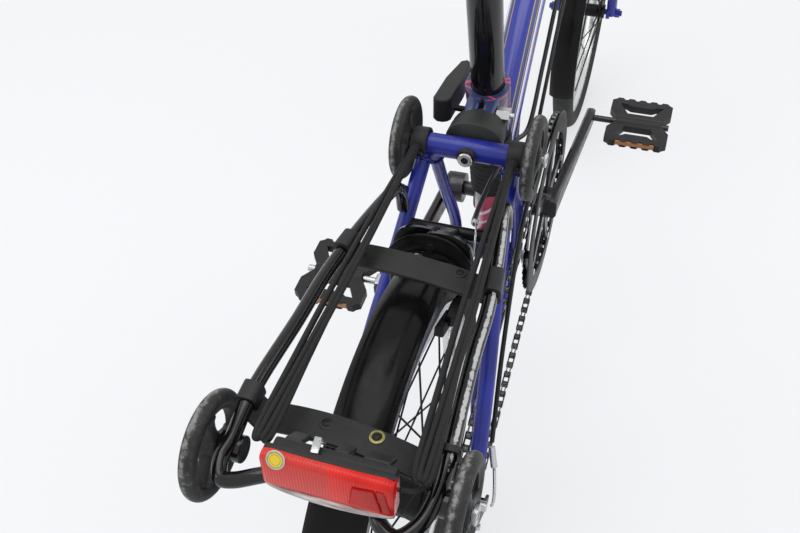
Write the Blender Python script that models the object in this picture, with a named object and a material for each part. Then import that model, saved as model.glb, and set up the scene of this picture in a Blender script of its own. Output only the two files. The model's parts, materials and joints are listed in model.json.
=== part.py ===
"""Folding bike with small wheels, standing upright and unfolded.

Metres, +Z up, +X forward, +Y to the rider's left. The origin is the ground point under the rear axle.
Every moving piece hangs on an empty that stands on its joint's axis.
"""
import cmath
import math

import bmesh
import bpy
from mathutils import Matrix, Vector

for old in list(bpy.data.objects):
    bpy.data.objects.remove(old, do_unlink=True)

# Clearances
GAP = 0.0004              # between pieces that seat on each other
RUNNING_GAP = 0.0005      # round a shaft that turns

# Wheels
WHEELBASE = 1.045
TYRE_RADIUS = 0.2095
TYRE_HALF_WIDTH = 0.0175
RIM_EDGE_RADIUS = 0.1805
RIM_HALF_WIDTH = 0.0108
RIM_DEPTH = 0.0215
RIM_WALL = 0.0013
WHEEL_STEPS = 30
SPOKE_RADIUS = 0.0011
REAR_SPOKES = 28
FRONT_SPOKES = 20
REAR_HUB_RADIUS = 0.029
REAR_FLANGE_RADIUS = 0.038
REAR_FLANGE_Y = 0.026
FRONT_HUB_RADIUS = 0.011
FRONT_FLANGE_RADIUS = 0.019
FRONT_FLANGE_Y = 0.026
AXLE_RADIUS = 0.0048

# Frame
FRAME_ANGLE = math.radians(73.0)       # seat tube and steering axis
SEAT_TUBE_TOP = Vector((0.2687, 0.0, 0.489))
SEAT_TUBE_LENGTH = 0.2865
SEAT_TUBE_RADIUS = 0.0195
COLLAR_RADIUS = 0.0215
COLLAR_HEIGHT = 0.036
SEATPOST_RADIUS = 0.0159
SEATPOST_LENGTH = 0.530
SEATPOST_INSERTED = 0.110
CLAMP_BOLT_RADIUS = 0.0030
CLAMP_LEVER_Y = 0.0375
BOTTOM_BRACKET = Vector((0.372, 0.0, 0.284))
BRACKET_RADIUS = 0.0215
BRACKET_HALF_WIDTH = 0.0285
BRACKET_BORE = 0.0130
MAIN_TUBE_RADIUS = 0.019
REAR_HINGE = Vector((0.304, 0.0, 0.255))
REAR_HINGE_RADIUS = 0.0125
REAR_HINGE_HALF_WIDTH = 0.0275
SPINDLE_RADIUS = 0.0055
MAIN_HINGE = Vector((0.780, 0.050, 0.5625))
MAIN_HINGE_PIN_RADIUS = 0.0042
HINGE_HALF_HEIGHT = 0.026
STAY_RADIUS = 0.0075
REAR_HALF_WIDTH = 0.0565               # inside of the rear dropouts
DROPOUT_THICKNESS = 0.005
CROSSBAR = Vector((0.199, -0.0015, 0.459))
CROSSBAR_HALF_LENGTH = 0.0435
CROSSBAR_RADIUS = 0.0105
BLOCK_RADIUS = 0.028
BLOCK_LENGTH = 0.036

# Steering
RAKE = 0.030
STEERER_RADIUS = 0.0127
HEAD_TUBE_RADIUS = 0.0190
HEAD_TUBE_BORE = 0.0145
CROWN_AT = 0.2800                      # distances up the steering axis from the level of the axle
HEAD_BOTTOM_AT = 0.2990
HEAD_TOP_AT = 0.4120
POST_HINGE_AT = 0.4455
BAR_CLAMP_AT = 0.7200
POST_RADIUS = 0.0165
POST_HINGE_OFFSET = 0.042
POST_PIN_RADIUS = 0.0035
FRONT_HALF_WIDTH = 0.0375
FORK_BLADE_RADIUS = 0.0085
BAR_RADIUS = 0.0111
BAR_HALF_WIDTH = 0.268
BAR_RISE = 0.105
GRIP_LENGTH = 0.115
GRIP_RADIUS = 0.0160
LEVER_AT = 0.128                       # brake lever pivots, out from the middle of the bar

# Drive
CRANK_LENGTH = 0.170
CRANK_ANGLE = math.radians(6.0)
CRANK_ROOT_Y = 0.0625
CRANK_END_Y = 0.0760
CRANK_THICKNESS = 0.0110
CRANK_AXLE_RADIUS = 0.0085
PITCH = 0.0127
CHAIN_Y = -0.0495
CHAIN_LINKS = 98
RING_TEETH = 50
SPROCKET_TEETH = 13
JOCKEY_TEETH = 11
TOOTH_THICKNESS = 0.0020
GUARD_RADIUS = 0.107
PEDAL_SPINDLE_RADIUS = 0.0040
PEDAL_CENTRE_Y = 0.1375
LEFT_PEDAL_CENTRE_Y = 0.1405           # further out, past its folding hinge
PEDAL_FOLD_Y = 0.0915
PEDAL_HALF_WIDTH = 0.0380
PEDAL_HALF_LENGTH = 0.0440
PEDAL_HEIGHT = 0.0094
PEDAL_TILT = math.radians(6.0)         # the front edge stands a little higher
GUIDE_PULLEY = Vector((0.018, 0.0, 0.144))
TENSION_ARM = 0.062

# Rack
ROLLER_RADIUS = 0.0390
ROLLER_HALF_WIDTH = 0.0060
ROLLER_AXLE_RADIUS = 0.0034
FRONT_ROLLER = Vector((0.2016, 0.0602, 0.4593))
REAR_ROLLER = Vector((-0.1516, 0.0853, 0.4311))
REAR_ROLLER_RIGHT = 0.0900             # the right one stands further out, past its rail
RAIL_RADIUS = 0.0055
RAIL_Z = 0.458
BUNGEE_RADIUS = 0.0033

# Mudguards
REAR_GUARD_RADIUS = 0.229
REAR_GUARD_Y = 0.004
FRONT_GUARD_RADIUS = 0.2215
GUARD_HALF_WIDTH = 0.0195
GUARD_SHEET = 0.0016

# Brakes
REAR_BRAKE_ANGLE = math.radians(69.0)
REAR_BRAKE_RADIUS = 0.2440
BRAKE_ARM_THICKNESS = 0.0070
BRAKE_BOLT_RADIUS = 0.0030
PAD_CLEARANCE = 0.0027

X_AXIS = Vector((1, 0, 0))
Y_AXIS = Vector((0, 1, 0))
Z_AXIS = Vector((0, 0, 1))
REAR_AXLE = Vector((0, 0, TYRE_RADIUS))
FRONT_AXLE = Vector((WHEELBASE, 0, TYRE_RADIUS))
UP_TUBE = Vector((-math.cos(FRAME_ANGLE), 0, math.sin(FRAME_ANGLE)))
AHEAD = Vector((math.sin(FRAME_ANGLE), 0, math.cos(FRAME_ANGLE)))
STEERING_FOOT = FRONT_AXLE - X_AXIS * (RAKE / math.sin(FRAME_ANGLE))
SEAT_TUBE_FOOT = SEAT_TUBE_TOP - UP_TUBE * SEAT_TUBE_LENGTH


def steering(distance, ahead=0.0, left=0.0):
    """A point measured up the steering axis, ahead of it and to its left."""
    return STEERING_FOOT + UP_TUBE * distance + AHEAD * ahead + Y_AXIS * left


# Bodies: each is an empty on its joint's axis
POST_HINGE_AXIS = (AHEAD + Y_AXIS).normalized()
POST_HINGE_SIDE = (AHEAD - Y_AXIS).normalized()
POST_HINGE = steering(POST_HINGE_AT) + POST_HINGE_SIDE * POST_HINGE_OFFSET
CLAMP_BOLT = SEAT_TUBE_TOP - AHEAD * 0.0285 - UP_TUBE * 0.0085
CRANK_DIRECTION = Vector((math.cos(CRANK_ANGLE), 0, math.sin(CRANK_ANGLE)))
CRANK_UP = CRANK_DIRECTION.cross(Y_AXIS)
RIGHT_PEDAL = BOTTOM_BRACKET + CRANK_DIRECTION * CRANK_LENGTH - Y_AXIS * PEDAL_CENTRE_Y
LEFT_PEDAL = BOTTOM_BRACKET - CRANK_DIRECTION * CRANK_LENGTH + Y_AXIS * LEFT_PEDAL_CENTRE_Y
PEDAL_FOLD = Vector((LEFT_PEDAL.x, PEDAL_FOLD_Y, LEFT_PEDAL.z))
REAR_BRAKE = REAR_AXLE + Vector((math.cos(REAR_BRAKE_ANGLE), 0, math.sin(REAR_BRAKE_ANGLE))) * REAR_BRAKE_RADIUS
FRONT_BRAKE = steering(CROWN_AT - 0.004, 0.0245)
BAR_MIDDLE = steering(BAR_CLAMP_AT)
LEVER_PIVOT = BAR_MIDDLE + Vector((0.030, LEVER_AT, BAR_RISE))


def belt_path(circles):
    """Where a chain leaves and meets each wheel, for (centre, radius, sense) in travelling order."""
    legs = []
    for index, (centre, radius, sense) in enumerate(circles):
        next_centre, next_radius, next_sense = circles[(index + 1) % len(circles)]
        across = next_centre - centre
        spread = next_sense * next_radius - sense * radius
        along = math.sqrt(abs(across) ** 2 - spread ** 2)
        heading = across / complex(along, spread)
        heading /= abs(heading)
        side = -1j * heading
        legs.append((centre + sense * radius * side, next_centre + next_sense * next_radius * side, side))
    return legs


def belt_segments(circles):
    """The path as straight runs and arcs: (kind, length, data)."""
    legs = belt_path(circles)
    segments = []
    for index, (start, end, side) in enumerate(legs):
        segments.append(("run", abs(end - start), (start, end)))
        centre, radius, sense = circles[(index + 1) % len(circles)]
        next_side = legs[(index + 1) % len(legs)][2]
        first = cmath.phase(sense * side)
        turn = (cmath.phase(sense * next_side) - first) * sense % (2 * math.pi)
        segments.append(("arc", turn * radius, (centre, radius, sense, first)))
    return segments


def belt_point(segments, distance):
    """The point at a distance along the path."""
    for kind, length, data in segments:
        if distance <= length:
            if kind == "run":
                start, end = data
                return start + (end - start) * distance / length
            centre, radius, sense, first = data
            return centre + cmath.rect(radius, first + sense * distance / radius)
        distance -= length
    return belt_point(segments, distance)


def wheel_radius(teeth):
    """Radius at which whole chain pitches go round a wheel."""
    return teeth * PITCH / (2 * math.pi)


def drive_circles(arm_angle):
    tension = complex(GUIDE_PULLEY.x, GUIDE_PULLEY.z) + cmath.rect(TENSION_ARM, arm_angle)
    return [
        (complex(BOTTOM_BRACKET.x, BOTTOM_BRACKET.z), wheel_radius(RING_TEETH), 1),
        (complex(REAR_AXLE.x, REAR_AXLE.z), wheel_radius(SPROCKET_TEETH), 1),
        (complex(GUIDE_PULLEY.x, GUIDE_PULLEY.z), wheel_radius(JOCKEY_TEETH), -1),
        (tension, wheel_radius(JOCKEY_TEETH), 1),
    ]


def settle_arm():
    """Arm angle at which the path holds exactly the chain's links."""
    low = math.radians(-130)
    high = math.radians(-15)
    for _ in range(60):
        middle = (low + high) / 2
        if sum(piece[1] for piece in belt_segments(drive_circles(middle))) > CHAIN_LINKS * PITCH:
            low = middle
        else:
            high = middle
    return (low + high) / 2


ARM_ANGLE = settle_arm()
DRIVE = drive_circles(ARM_ANGLE)
CHAIN_PATH = belt_segments(DRIVE)
TENSION_PULLEY = Vector((DRIVE[3][0].real, 0, DRIVE[3][0].imag))

BODIES = {
    "main_frame": (Vector((0, 0, 0)), None),
    "seat_clamp_lever": (CLAMP_BOLT + Y_AXIS * CLAMP_LEVER_Y, "main_frame"),
    "seatpost": (SEAT_TUBE_TOP, "main_frame"),
    "rear_frame": (REAR_HINGE, "main_frame"),
    "rear_brake_arm_left": (REAR_BRAKE, "rear_frame"),
    "rear_brake_arm_right": (REAR_BRAKE, "rear_frame"),
    "roller_front_left": (FRONT_ROLLER, "rear_frame"),
    "roller_front_right": (Vector((FRONT_ROLLER.x, -FRONT_ROLLER.y, FRONT_ROLLER.z)), "rear_frame"),
    "roller_rear_left": (REAR_ROLLER, "rear_frame"),
    "roller_rear_right": (Vector((REAR_ROLLER.x, -REAR_ROLLER_RIGHT, REAR_ROLLER.z)), "rear_frame"),
    "rear_wheel": (REAR_AXLE, "rear_frame"),
    "rear_sprocket": (REAR_AXLE, "rear_frame"),
    "chain_tensioner": (GUIDE_PULLEY, "rear_frame"),
    "guide_pulley": (GUIDE_PULLEY, "rear_frame"),
    "tension_pulley": (TENSION_PULLEY, "chain_tensioner"),
    "crankset": (BOTTOM_BRACKET, "main_frame"),
    "pedal_right": (RIGHT_PEDAL, "crankset"),
    "pedal_left_bracket": (PEDAL_FOLD, "crankset"),
    "pedal_left": (LEFT_PEDAL, "pedal_left_bracket"),
    "front_frame": (MAIN_HINGE, "main_frame"),
    "main_hinge_clamp": (MAIN_HINGE - Y_AXIS * MAIN_HINGE.y, "main_frame"),
    "steering": (STEERING_FOOT, "front_frame"),
    "front_wheel": (FRONT_AXLE, "steering"),
    "front_brake_arm_left": (FRONT_BRAKE, "steering"),
    "front_brake_arm_right": (FRONT_BRAKE, "steering"),
    "handlepost": (POST_HINGE, "steering"),
    "handlepost_clamp": (steering(POST_HINGE_AT), "steering"),
    "brake_lever_left": (LEVER_PIVOT, "handlepost"),
    "brake_lever_right": (Vector((LEVER_PIVOT.x, -LEVER_PIVOT.y, LEVER_PIVOT.z)), "handlepost"),
}
EMPTIES = {}
for body_name, (joint_point, parent_name) in BODIES.items():
    empty = bpy.data.objects.new(body_name + "_axis", None)
    bpy.context.collection.objects.link(empty)
    if parent_name:
        empty.parent = EMPTIES[parent_name]
        empty.location = joint_point - BODIES[parent_name][0]
    else:
        empty.location = joint_point
    EMPTIES[body_name] = empty


# Materials
def finish(name, colour, roughness, metallic=0.0):
    made = bpy.data.materials.new(name)
    made.use_nodes = True
    shader = made.node_tree.nodes["Principled BSDF"]
    shader.inputs["Base Color"].default_value = (*colour, 1)
    shader.inputs["Roughness"].default_value = roughness
    shader.inputs["Metallic"].default_value = metallic
    return made


BLUE_PAINT = finish("royal_blue_paint", (0.02, 0.03, 0.36), 0.3)
NAVY_PAINT = finish("navy_paint", (0.02, 0.03, 0.15), 0.3)
BLACK_PAINT = finish("gloss_black_paint", (0.01, 0.01, 0.01), 0.15)
BLACK_ALLOY = finish("black_anodised_alloy", (0.02, 0.02, 0.02), 0.4, 0.6)
BLACK_PLASTIC = finish("black_nylon", (0.015, 0.015, 0.016), 0.45)
RUBBER = finish("rubber", (0.02, 0.02, 0.02), 0.75)
SILVER = finish("polished_alloy", (0.75, 0.75, 0.76), 0.25, 1.0)
STEEL = finish("bright_steel", (0.6, 0.6, 0.61), 0.3, 1.0)
RED_LENS = finish("red_lens", (0.6, 0.01, 0.01), 0.1)
AMBER = finish("amber_reflector", (0.8, 0.25, 0.02), 0.2)
WOVEN_CORD = finish("woven_black_cord", (0.015, 0.015, 0.015), 0.85)


# Shapes
def merged_flats(mesh):
    """Slivers left by joins close up and triangles in one flat become one face, where the skin stays closed."""
    for weld, angle in ((3e-4, 0.8), (2e-4, 0.4), (1e-4, 0.2), (1e-6, 0.1)):
        bm = bmesh.new()
        bm.from_mesh(mesh)
        before = bm.calc_volume(signed=True)
        bmesh.ops.remove_doubles(bm, verts=bm.verts, dist=weld)
        bmesh.ops.dissolve_degenerate(bm, edges=bm.edges, dist=1e-6)
        bmesh.ops.dissolve_limit(bm, angle_limit=math.radians(angle), verts=bm.verts, edges=bm.edges)
        bmesh.ops.triangulate(bm, faces=[face for face in bm.faces if len(face.verts) > 4])
        closed = all(len(edge.link_faces) == 2 for edge in bm.edges)
        after = bm.calc_volume(signed=True)
        if closed and abs(after - before) < 0.004 * before and all(face.calc_area() > 1e-10 for face in bm.faces):
            bm.to_mesh(mesh)
            bm.free()
            return mesh
        bm.free()
    return mesh


def all_triangles(mesh):
    """Every face as triangles, for a bent cord whose quads aren't quite flat."""
    bm = bmesh.new()
    bm.from_mesh(mesh)
    bmesh.ops.triangulate(bm, faces=bm.faces)
    bm.to_mesh(mesh)
    bm.free()
    return mesh


def place(name, mesh, material, body, has_flats=True):
    """One sub-part: the mesh is worked out in world places and hung on its body's empty."""
    mesh = merged_flats(mesh) if has_flats else all_triangles(mesh)
    mesh.transform(Matrix.Translation(-BODIES[body][0]))
    mesh.materials.clear()
    mesh.materials.append(material)
    mesh.shade_smooth()
    mesh.set_sharp_from_angle(angle=math.radians(40))
    piece = bpy.data.objects.new(name, mesh)
    piece.parent = EMPTIES[body]
    bpy.context.collection.objects.link(piece)
    return piece


def mesh_from(bm):
    bmesh.ops.remove_doubles(bm, verts=bm.verts, dist=1e-6)
    bmesh.ops.recalc_face_normals(bm, faces=bm.faces)
    bmesh.ops.triangulate(bm, faces=[face for face in bm.faces if len(face.verts) > 4])
    if bm.calc_volume(signed=True) < 0:
        bmesh.ops.reverse_faces(bm, faces=bm.faces)
    mesh = bpy.data.meshes.new("shape")
    bm.to_mesh(mesh)
    bm.free()
    return mesh


def axes_along(direction, near=Y_AXIS):
    """Matrix whose Z runs along a direction and whose X stays near another."""
    w = direction.normalized()
    u = near - w * near.dot(w)
    if u.length < 1e-4:
        near = Z_AXIS if abs(w.z) < 0.5 else X_AXIS
        u = near - w * near.dot(w)
    u.normalize()
    v = w.cross(u)
    return Matrix((u, v, w)).transposed().to_4x4()


def turned(profile, centre, axis, steps, start=0.0, angle=2 * math.pi):
    """Turned piece: profile points are (distance along the axis, radius), as a closed loop."""
    whole = angle >= 2 * math.pi - 1e-6
    turn = Matrix.Translation(centre) @ axes_along(axis, X_AXIS)
    bm = bmesh.new()
    rows = []
    for step in range(steps if whole else steps + 1):
        at = start + angle * step / steps
        rows.append([bm.verts.new(turn @ Vector((radius * math.cos(at), radius * math.sin(at), along)))
                     for along, radius in profile])
    count = len(profile)
    for row, following in zip(rows, rows[1:] + rows[:1] if whole else rows[1:]):
        for i in range(count):
            j = (i + 1) % count
            if profile[i][1] or profile[j][1]:
                bm.faces.new((row[i], row[j], following[j], following[i]))
    if not whole:
        bm.faces.new(rows[0])
        bm.faces.new(rows[-1])
    return mesh_from(bm)


def disc(centre, axis, radius, low, high, steps=16, bore=0.0):
    """Disc or ring between two heights along an axis."""
    if bore:
        return turned([(low, bore), (low, radius), (high, radius), (high, bore)], centre, axis, steps)
    return turned([(low, 0.0), (low, radius), (high, radius), (high, 0.0)], centre, axis, steps)


def tube(points, radius, sides=8, cyclic=False):
    """Round bar through points, from a curve with a bevel and filled caps."""
    curve = bpy.data.curves.new("path", "CURVE")
    curve.dimensions = "3D"
    curve.bevel_depth = radius
    curve.bevel_resolution = (sides - 4) // 2
    curve.use_fill_caps = True
    spline = curve.splines.new("POLY")
    spline.points.add(len(points) - 1)
    for knot, point in zip(spline.points, points):
        knot.co = (*point, 1)
    spline.use_cyclic_u = cyclic
    holder = bpy.data.objects.new("path", curve)
    mesh = bpy.data.meshes.new_from_object(holder)
    bpy.data.objects.remove(holder)
    bpy.data.curves.remove(curve)
    bm = bmesh.new()
    bm.from_mesh(mesh)
    bpy.data.meshes.remove(mesh)
    return mesh_from(bm)


def smooth_path(points, count, cyclic=False):
    """Points read from a Catmull-Rom curve through chosen ones."""
    knots = [Vector(point) for point in points]
    spans = len(knots) if cyclic else len(knots) - 1
    found = []
    for step in range(count):
        place_on = step * spans / (count if cyclic else count - 1)
        span = min(int(place_on), spans - 1)
        t = place_on - span
        if cyclic:
            a, b, c, d = (knots[(span + shift) % len(knots)] for shift in (-1, 0, 1, 2))
        else:
            b, c = knots[span], knots[span + 1]
            a = knots[span - 1] if span else b * 2 - c
            d = knots[span + 2] if span + 2 < len(knots) else c * 2 - b
        found.append((b * 2 + (c - a) * t + (a * 2 - b * 5 + c * 4 - d) * t * t
                      + (b * 3 - a - c * 3 + d) * t ** 3) / 2)
    return found


def plate(outline, origin, across, along, low, high):
    """Flat plate: outline points along two directions, raised along their normal."""
    bm = bmesh.new()
    normal = across.cross(along).normalized()
    face = bm.faces.new([bm.verts.new(origin + across * a + along * b + normal * low) for a, b in outline])
    risen = bmesh.ops.extrude_face_region(bm, geom=[face])
    top = [item for item in risen["geom"] if isinstance(item, bmesh.types.BMVert)]
    bmesh.ops.translate(bm, verts=top, vec=normal * (high - low))
    return mesh_from(bm)


def block(centre, size, up=Z_AXIS, across=X_AXIS, rounding=0.0):
    """Box of a size along across, their cross direction, and up."""
    bm = bmesh.new()
    bmesh.ops.create_cube(bm, size=1.0)
    bm.transform(Matrix.Translation(centre) @ axes_along(up, across) @ Matrix.Diagonal((*size, 1)))
    if rounding:
        bm.normal_update()
        bmesh.ops.bevel(bm, geom=bm.edges[:], offset=rounding, segments=1, affect="EDGES")
    return mesh_from(bm)


def lofted(rings):
    """Skin over rings of equal count, closed at both ends."""
    bm = bmesh.new()
    rows = [[bm.verts.new(point) for point in ring] for ring in rings]
    count = len(rows[0])
    for low, high in zip(rows, rows[1:]):
        for i in range(count):
            bm.faces.new((low[i], low[(i + 1) % count], high[(i + 1) % count], high[i]))
    bm.faces.new(rows[0])
    bm.faces.new(rows[-1])
    return mesh_from(bm)


def volume_of(mesh):
    """Signed volume, or None where the skin isn't closed."""
    bm = bmesh.new()
    bm.from_mesh(mesh)
    closed = bool(bm.edges) and all(len(edge.link_faces) == 2 for edge in bm.edges)
    volume = bm.calc_volume(signed=True) if closed else None
    bm.free()
    return volume


def combined(base, tool, operation, solver):
    host = bpy.data.objects.new("host", base)
    helper = bpy.data.objects.new("helper", tool)
    bpy.context.collection.objects.link(host)
    bpy.context.collection.objects.link(helper)
    modifier = host.modifiers.new("join", "BOOLEAN")
    modifier.operation = operation
    modifier.solver = solver
    modifier.object = helper
    bpy.context.view_layer.update()
    graph = bpy.context.evaluated_depsgraph_get()
    made = bpy.data.meshes.new_from_object(host.evaluated_get(graph))
    bpy.data.objects.remove(host)
    bpy.data.objects.remove(helper)
    bm = bmesh.new()
    bm.from_mesh(made)
    return mesh_from(bm)


def believable(made, base, tool, operation):
    """A closed result whose volume lies where the two solids allow it."""
    volume = volume_of(made)
    if volume is None:
        return False
    first = volume_of(base)
    second = volume_of(tool)
    if operation == "UNION":
        return max(first, second) * 0.999 <= volume <= (first + second) * 1.001
    return (first - second) * 0.999 <= volume <= first * 1.001


def boolean(base, tools, operation):
    """A base solid with others joined to it or cut out of it; the second solver takes what the first fails on."""
    for tool in tools:
        made = combined(base, tool, operation, "EXACT")
        if not believable(made, base, tool, operation):
            made = combined(base, tool, operation, "MANIFOLD")
        base = made
    return base


def joined(base, *tools):
    return boolean(base, tools, "UNION")


def cut(base, *tools):
    return boolean(base, tools, "DIFFERENCE")


def mirrored(mesh):
    """The same shape on the other side of the frame's plane."""
    bm = bmesh.new()
    bm.from_mesh(mesh)
    bmesh.ops.scale(bm, vec=(1, -1, 1), verts=bm.verts)
    return mesh_from(bm)


def sided(point, side):
    return Vector((point[0], point[1] * side, point[2]))


# Main frame, rear half
def main_tube_path():
    """The tube rises from the seat tube, arches over the folded wheel and runs level to the hinge."""
    knots = [(0.318, 0, 0.372), (0.372, 0, 0.4245), (0.4512, 0, 0.491), (0.520, 0, 0.533),
             (0.600, 0, 0.555), (0.690, 0, 0.562), (0.772, 0, MAIN_HINGE.z)]
    return smooth_path(knots, 10)


def hinge_half(sign, knuckles):
    """Half of the main hinge: a thick end plate with arms to its knuckles beside the tube."""
    face = GAP * 2
    plate_depth = 0.012
    middle = Vector((MAIN_HINGE.x + sign * (face + plate_depth / 2), 0.004, MAIN_HINGE.z))
    half = block(middle, (plate_depth, 0.052, HINGE_HALF_HEIGHT * 2), rounding=0.002)
    for low, high in knuckles:
        height = high - low
        at = MAIN_HINGE.z + (low + high) / 2
        arm = block(Vector((MAIN_HINGE.x + sign * 0.0065, 0.036, at)), (0.0105, 0.026, height))
        ear = disc(Vector((MAIN_HINGE.x, MAIN_HINGE.y, MAIN_HINGE.z)), Z_AXIS, 0.0085, low, high, 12)
        half = joined(half, arm, ear)
    return half


def make_main_frame():
    tube_height = SEAT_TUBE_LENGTH
    seat_tube = turned([(0, 0), (0, SEAT_TUBE_RADIUS), (tube_height - COLLAR_HEIGHT - 0.003, SEAT_TUBE_RADIUS),
                        (tube_height - COLLAR_HEIGHT, COLLAR_RADIUS), (tube_height, COLLAR_RADIUS),
                        (tube_height, 0)], SEAT_TUBE_FOOT, UP_TUBE, 20)
    ears = block(SEAT_TUBE_TOP - AHEAD * 0.027 - UP_TUBE * 0.011, (0.022, 0.030, 0.020), UP_TUBE, AHEAD, 0.002)
    shell = disc(BOTTOM_BRACKET, Y_AXIS, BRACKET_RADIUS, -BRACKET_HALF_WIDTH, BRACKET_HALF_WIDTH, 20)
    tube_part = tube(main_tube_path(), MAIN_TUBE_RADIUS, 12)
    brace = tube([Vector((0.3700, 0, 0.290)), Vector((0.3835, 0, 0.350)), Vector((0.3860, 0, 0.430))], 0.0135, 10)
    web = block(Vector((0.352, 0, 0.300)), (0.050, 0.016, 0.050), Vector((0.25, 0, 1)))
    barrel = disc(REAR_HINGE, Y_AXIS, REAR_HINGE_RADIUS, -REAR_HINGE_HALF_WIDTH, REAR_HINGE_HALF_WIDTH, 16)
    lug = block(REAR_HINGE + X_AXIS * 0.022, (0.034, 0.034, 0.021), rounding=0.002)
    frame = joined(seat_tube, ears, tube_part, brace, web, shell, lug, barrel)
    frame = joined(frame, hinge_half(-1, ((-HINGE_HALF_HEIGHT, -0.0095), (0.0095, HINGE_HALF_HEIGHT))))
    pin = disc(MAIN_HINGE, Z_AXIS, MAIN_HINGE_PIN_RADIUS, -HINGE_HALF_HEIGHT - 0.002, HINGE_HALF_HEIGHT + 0.002, 10)
    frame = joined(frame, pin)
    bore = disc(SEAT_TUBE_FOOT, UP_TUBE, SEATPOST_RADIUS + GAP, -0.05, tube_height + 0.05, 20)
    slot = block(SEAT_TUBE_TOP - AHEAD * 0.027 - UP_TUBE * 0.012, (0.045, 0.0026, 0.040), UP_TUBE, AHEAD)
    bolt_hole = disc(CLAMP_BOLT, Y_AXIS, CLAMP_BOLT_RADIUS + RUNNING_GAP, -0.05, 0.05, 10)
    bracket_bore = disc(BOTTOM_BRACKET, Y_AXIS, BRACKET_BORE, -0.05, 0.05, 16)
    spindle_bore = disc(REAR_HINGE, Y_AXIS, SPINDLE_RADIUS + GAP, -0.05, 0.05, 12)
    frame = cut(frame, bore, slot, bolt_hole, bracket_bore, spindle_bore)
    place("main_frame", frame, NAVY_PAINT, "main_frame")

    spindle = joined(disc(REAR_HINGE, Y_AXIS, SPINDLE_RADIUS, -0.0430, 0.0430, 12),
                     disc(REAR_HINGE, Y_AXIS, 0.0095, 0.0430, 0.0455, 12),
                     disc(REAR_HINGE, Y_AXIS, 0.0095, -0.0455, -0.0430, 12))
    place("rear_hinge_spindle", spindle, STEEL, "main_frame")

    bolt = joined(disc(CLAMP_BOLT, Y_AXIS, CLAMP_BOLT_RADIUS, -0.032, 0.0255, 10),
                  disc(CLAMP_BOLT, Y_AXIS, 0.0075, -0.0285, -0.0155 - GAP, 6))
    place("seat_clamp_bolt", bolt, STEEL, "main_frame")

    lever_pivot = CLAMP_BOLT + Y_AXIS * CLAMP_LEVER_Y
    lever = plate([(-0.0085, -0.0030), (-0.0060, -0.0070), (-0.0020, -0.0093), (0.010, -0.0095), (0.040, -0.0105),
                   (0.070, -0.0090), (0.074, -0.005), (0.070, 0.0005), (0.035, 0.0065), (-0.0040, 0.0080),
                   (-0.0085, 0.0030)], lever_pivot, X_AXIS, Y_AXIS, -0.013, 0.011)
    place("seat_clamp_lever", lever, BLACK_PLASTIC, "seat_clamp_lever")


# Seatpost and saddle
def make_seatpost():
    foot = SEAT_TUBE_TOP - UP_TUBE * SEATPOST_INSERTED
    post = turned([(0, SEATPOST_RADIUS - 0.0016), (0, SEATPOST_RADIUS), (SEATPOST_LENGTH, SEATPOST_RADIUS),
                   (SEATPOST_LENGTH, SEATPOST_RADIUS - 0.0016)], foot, UP_TUBE, 20)
    place("seatpost", post, BLACK_PAINT, "seatpost")
    top = foot + UP_TUBE * SEATPOST_LENGTH
    clamp = disc(top, UP_TUBE, 0.0205, -0.030, 0.012, 16)
    clamp = cut(clamp, disc(top, UP_TUBE, SEATPOST_RADIUS + GAP, -0.05, GAP, 20))
    jaw = disc(top + UP_TUBE * 0.014, Y_AXIS, 0.013, -0.027, 0.027, 12)
    rails_z = top.z + 0.020
    mid = top.x
    rail = smooth_path([(mid - 0.085, 0.034, rails_z + 0.012), (mid - 0.050, 0.022, rails_z),
                        (mid + 0.040, 0.021, rails_z), (mid + 0.110, 0.013, rails_z + 0.016),
                        (mid + 0.128, 0.0, rails_z + 0.020), (mid + 0.110, -0.013, rails_z + 0.016),
                        (mid + 0.040, -0.021, rails_z), (mid - 0.050, -0.022, rails_z),
                        (mid - 0.085, -0.034, rails_z + 0.012)], 15)
    place("saddle_clamp", joined(clamp, jaw, tube(rail, 0.0035, 6)), BLACK_ALLOY, "seatpost")
    make_saddle(Vector((mid, 0, rails_z + 0.028)))


def make_saddle(seat):
    """Cushion with a crowned top, drawn-in sides and a long nose; sections run from the back to the nose."""
    stations = 13
    back = -0.118
    length = 0.262
    rings = []
    for index in range(stations):
        t = index / (stations - 1)
        wide = 0.076 * (1 - 0.80 * (0.5 - 0.5 * math.cos(math.pi * min(1, max(0, (t - 0.12) / 0.62)))))
        end = min(1.0, math.sin(math.pi / 2 * min(1, t / 0.10 + 0.25)), math.sin(math.pi / 2 * min(1, (1 - t) / 0.08 + 0.25)))
        half = wide * end
        lift = 0.014 * (2 * t - 1) ** 2 + 0.006 * (1 - t)
        crown = 0.030 * (0.55 + 0.45 * end)
        ring = []
        for corner in range(14):
            angle = 2 * math.pi * corner / 14
            across = math.cos(angle)
            up = math.sin(angle)
            height = crown * up if up > 0 else 0.012 * up
            drawn = 1 - 0.12 * max(0, -up)
            ring.append(seat + Vector((back + length * t, half * drawn * math.copysign(abs(across) ** 0.8, across),
                                       lift + 0.008 + height)))
        rings.append(ring)
    place("saddle", lofted(rings), BLACK_PLASTIC, "seatpost")


# Rear frame
def stay_points(side):
    return smooth_path([(0.205, 0.0400 * side, 0.455), (0.1315, 0.0480 * side, 0.3827),
                        (0.062, 0.0582 * side, 0.308), (0.006, 0.0645 * side, 0.226)], 5)


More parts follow.
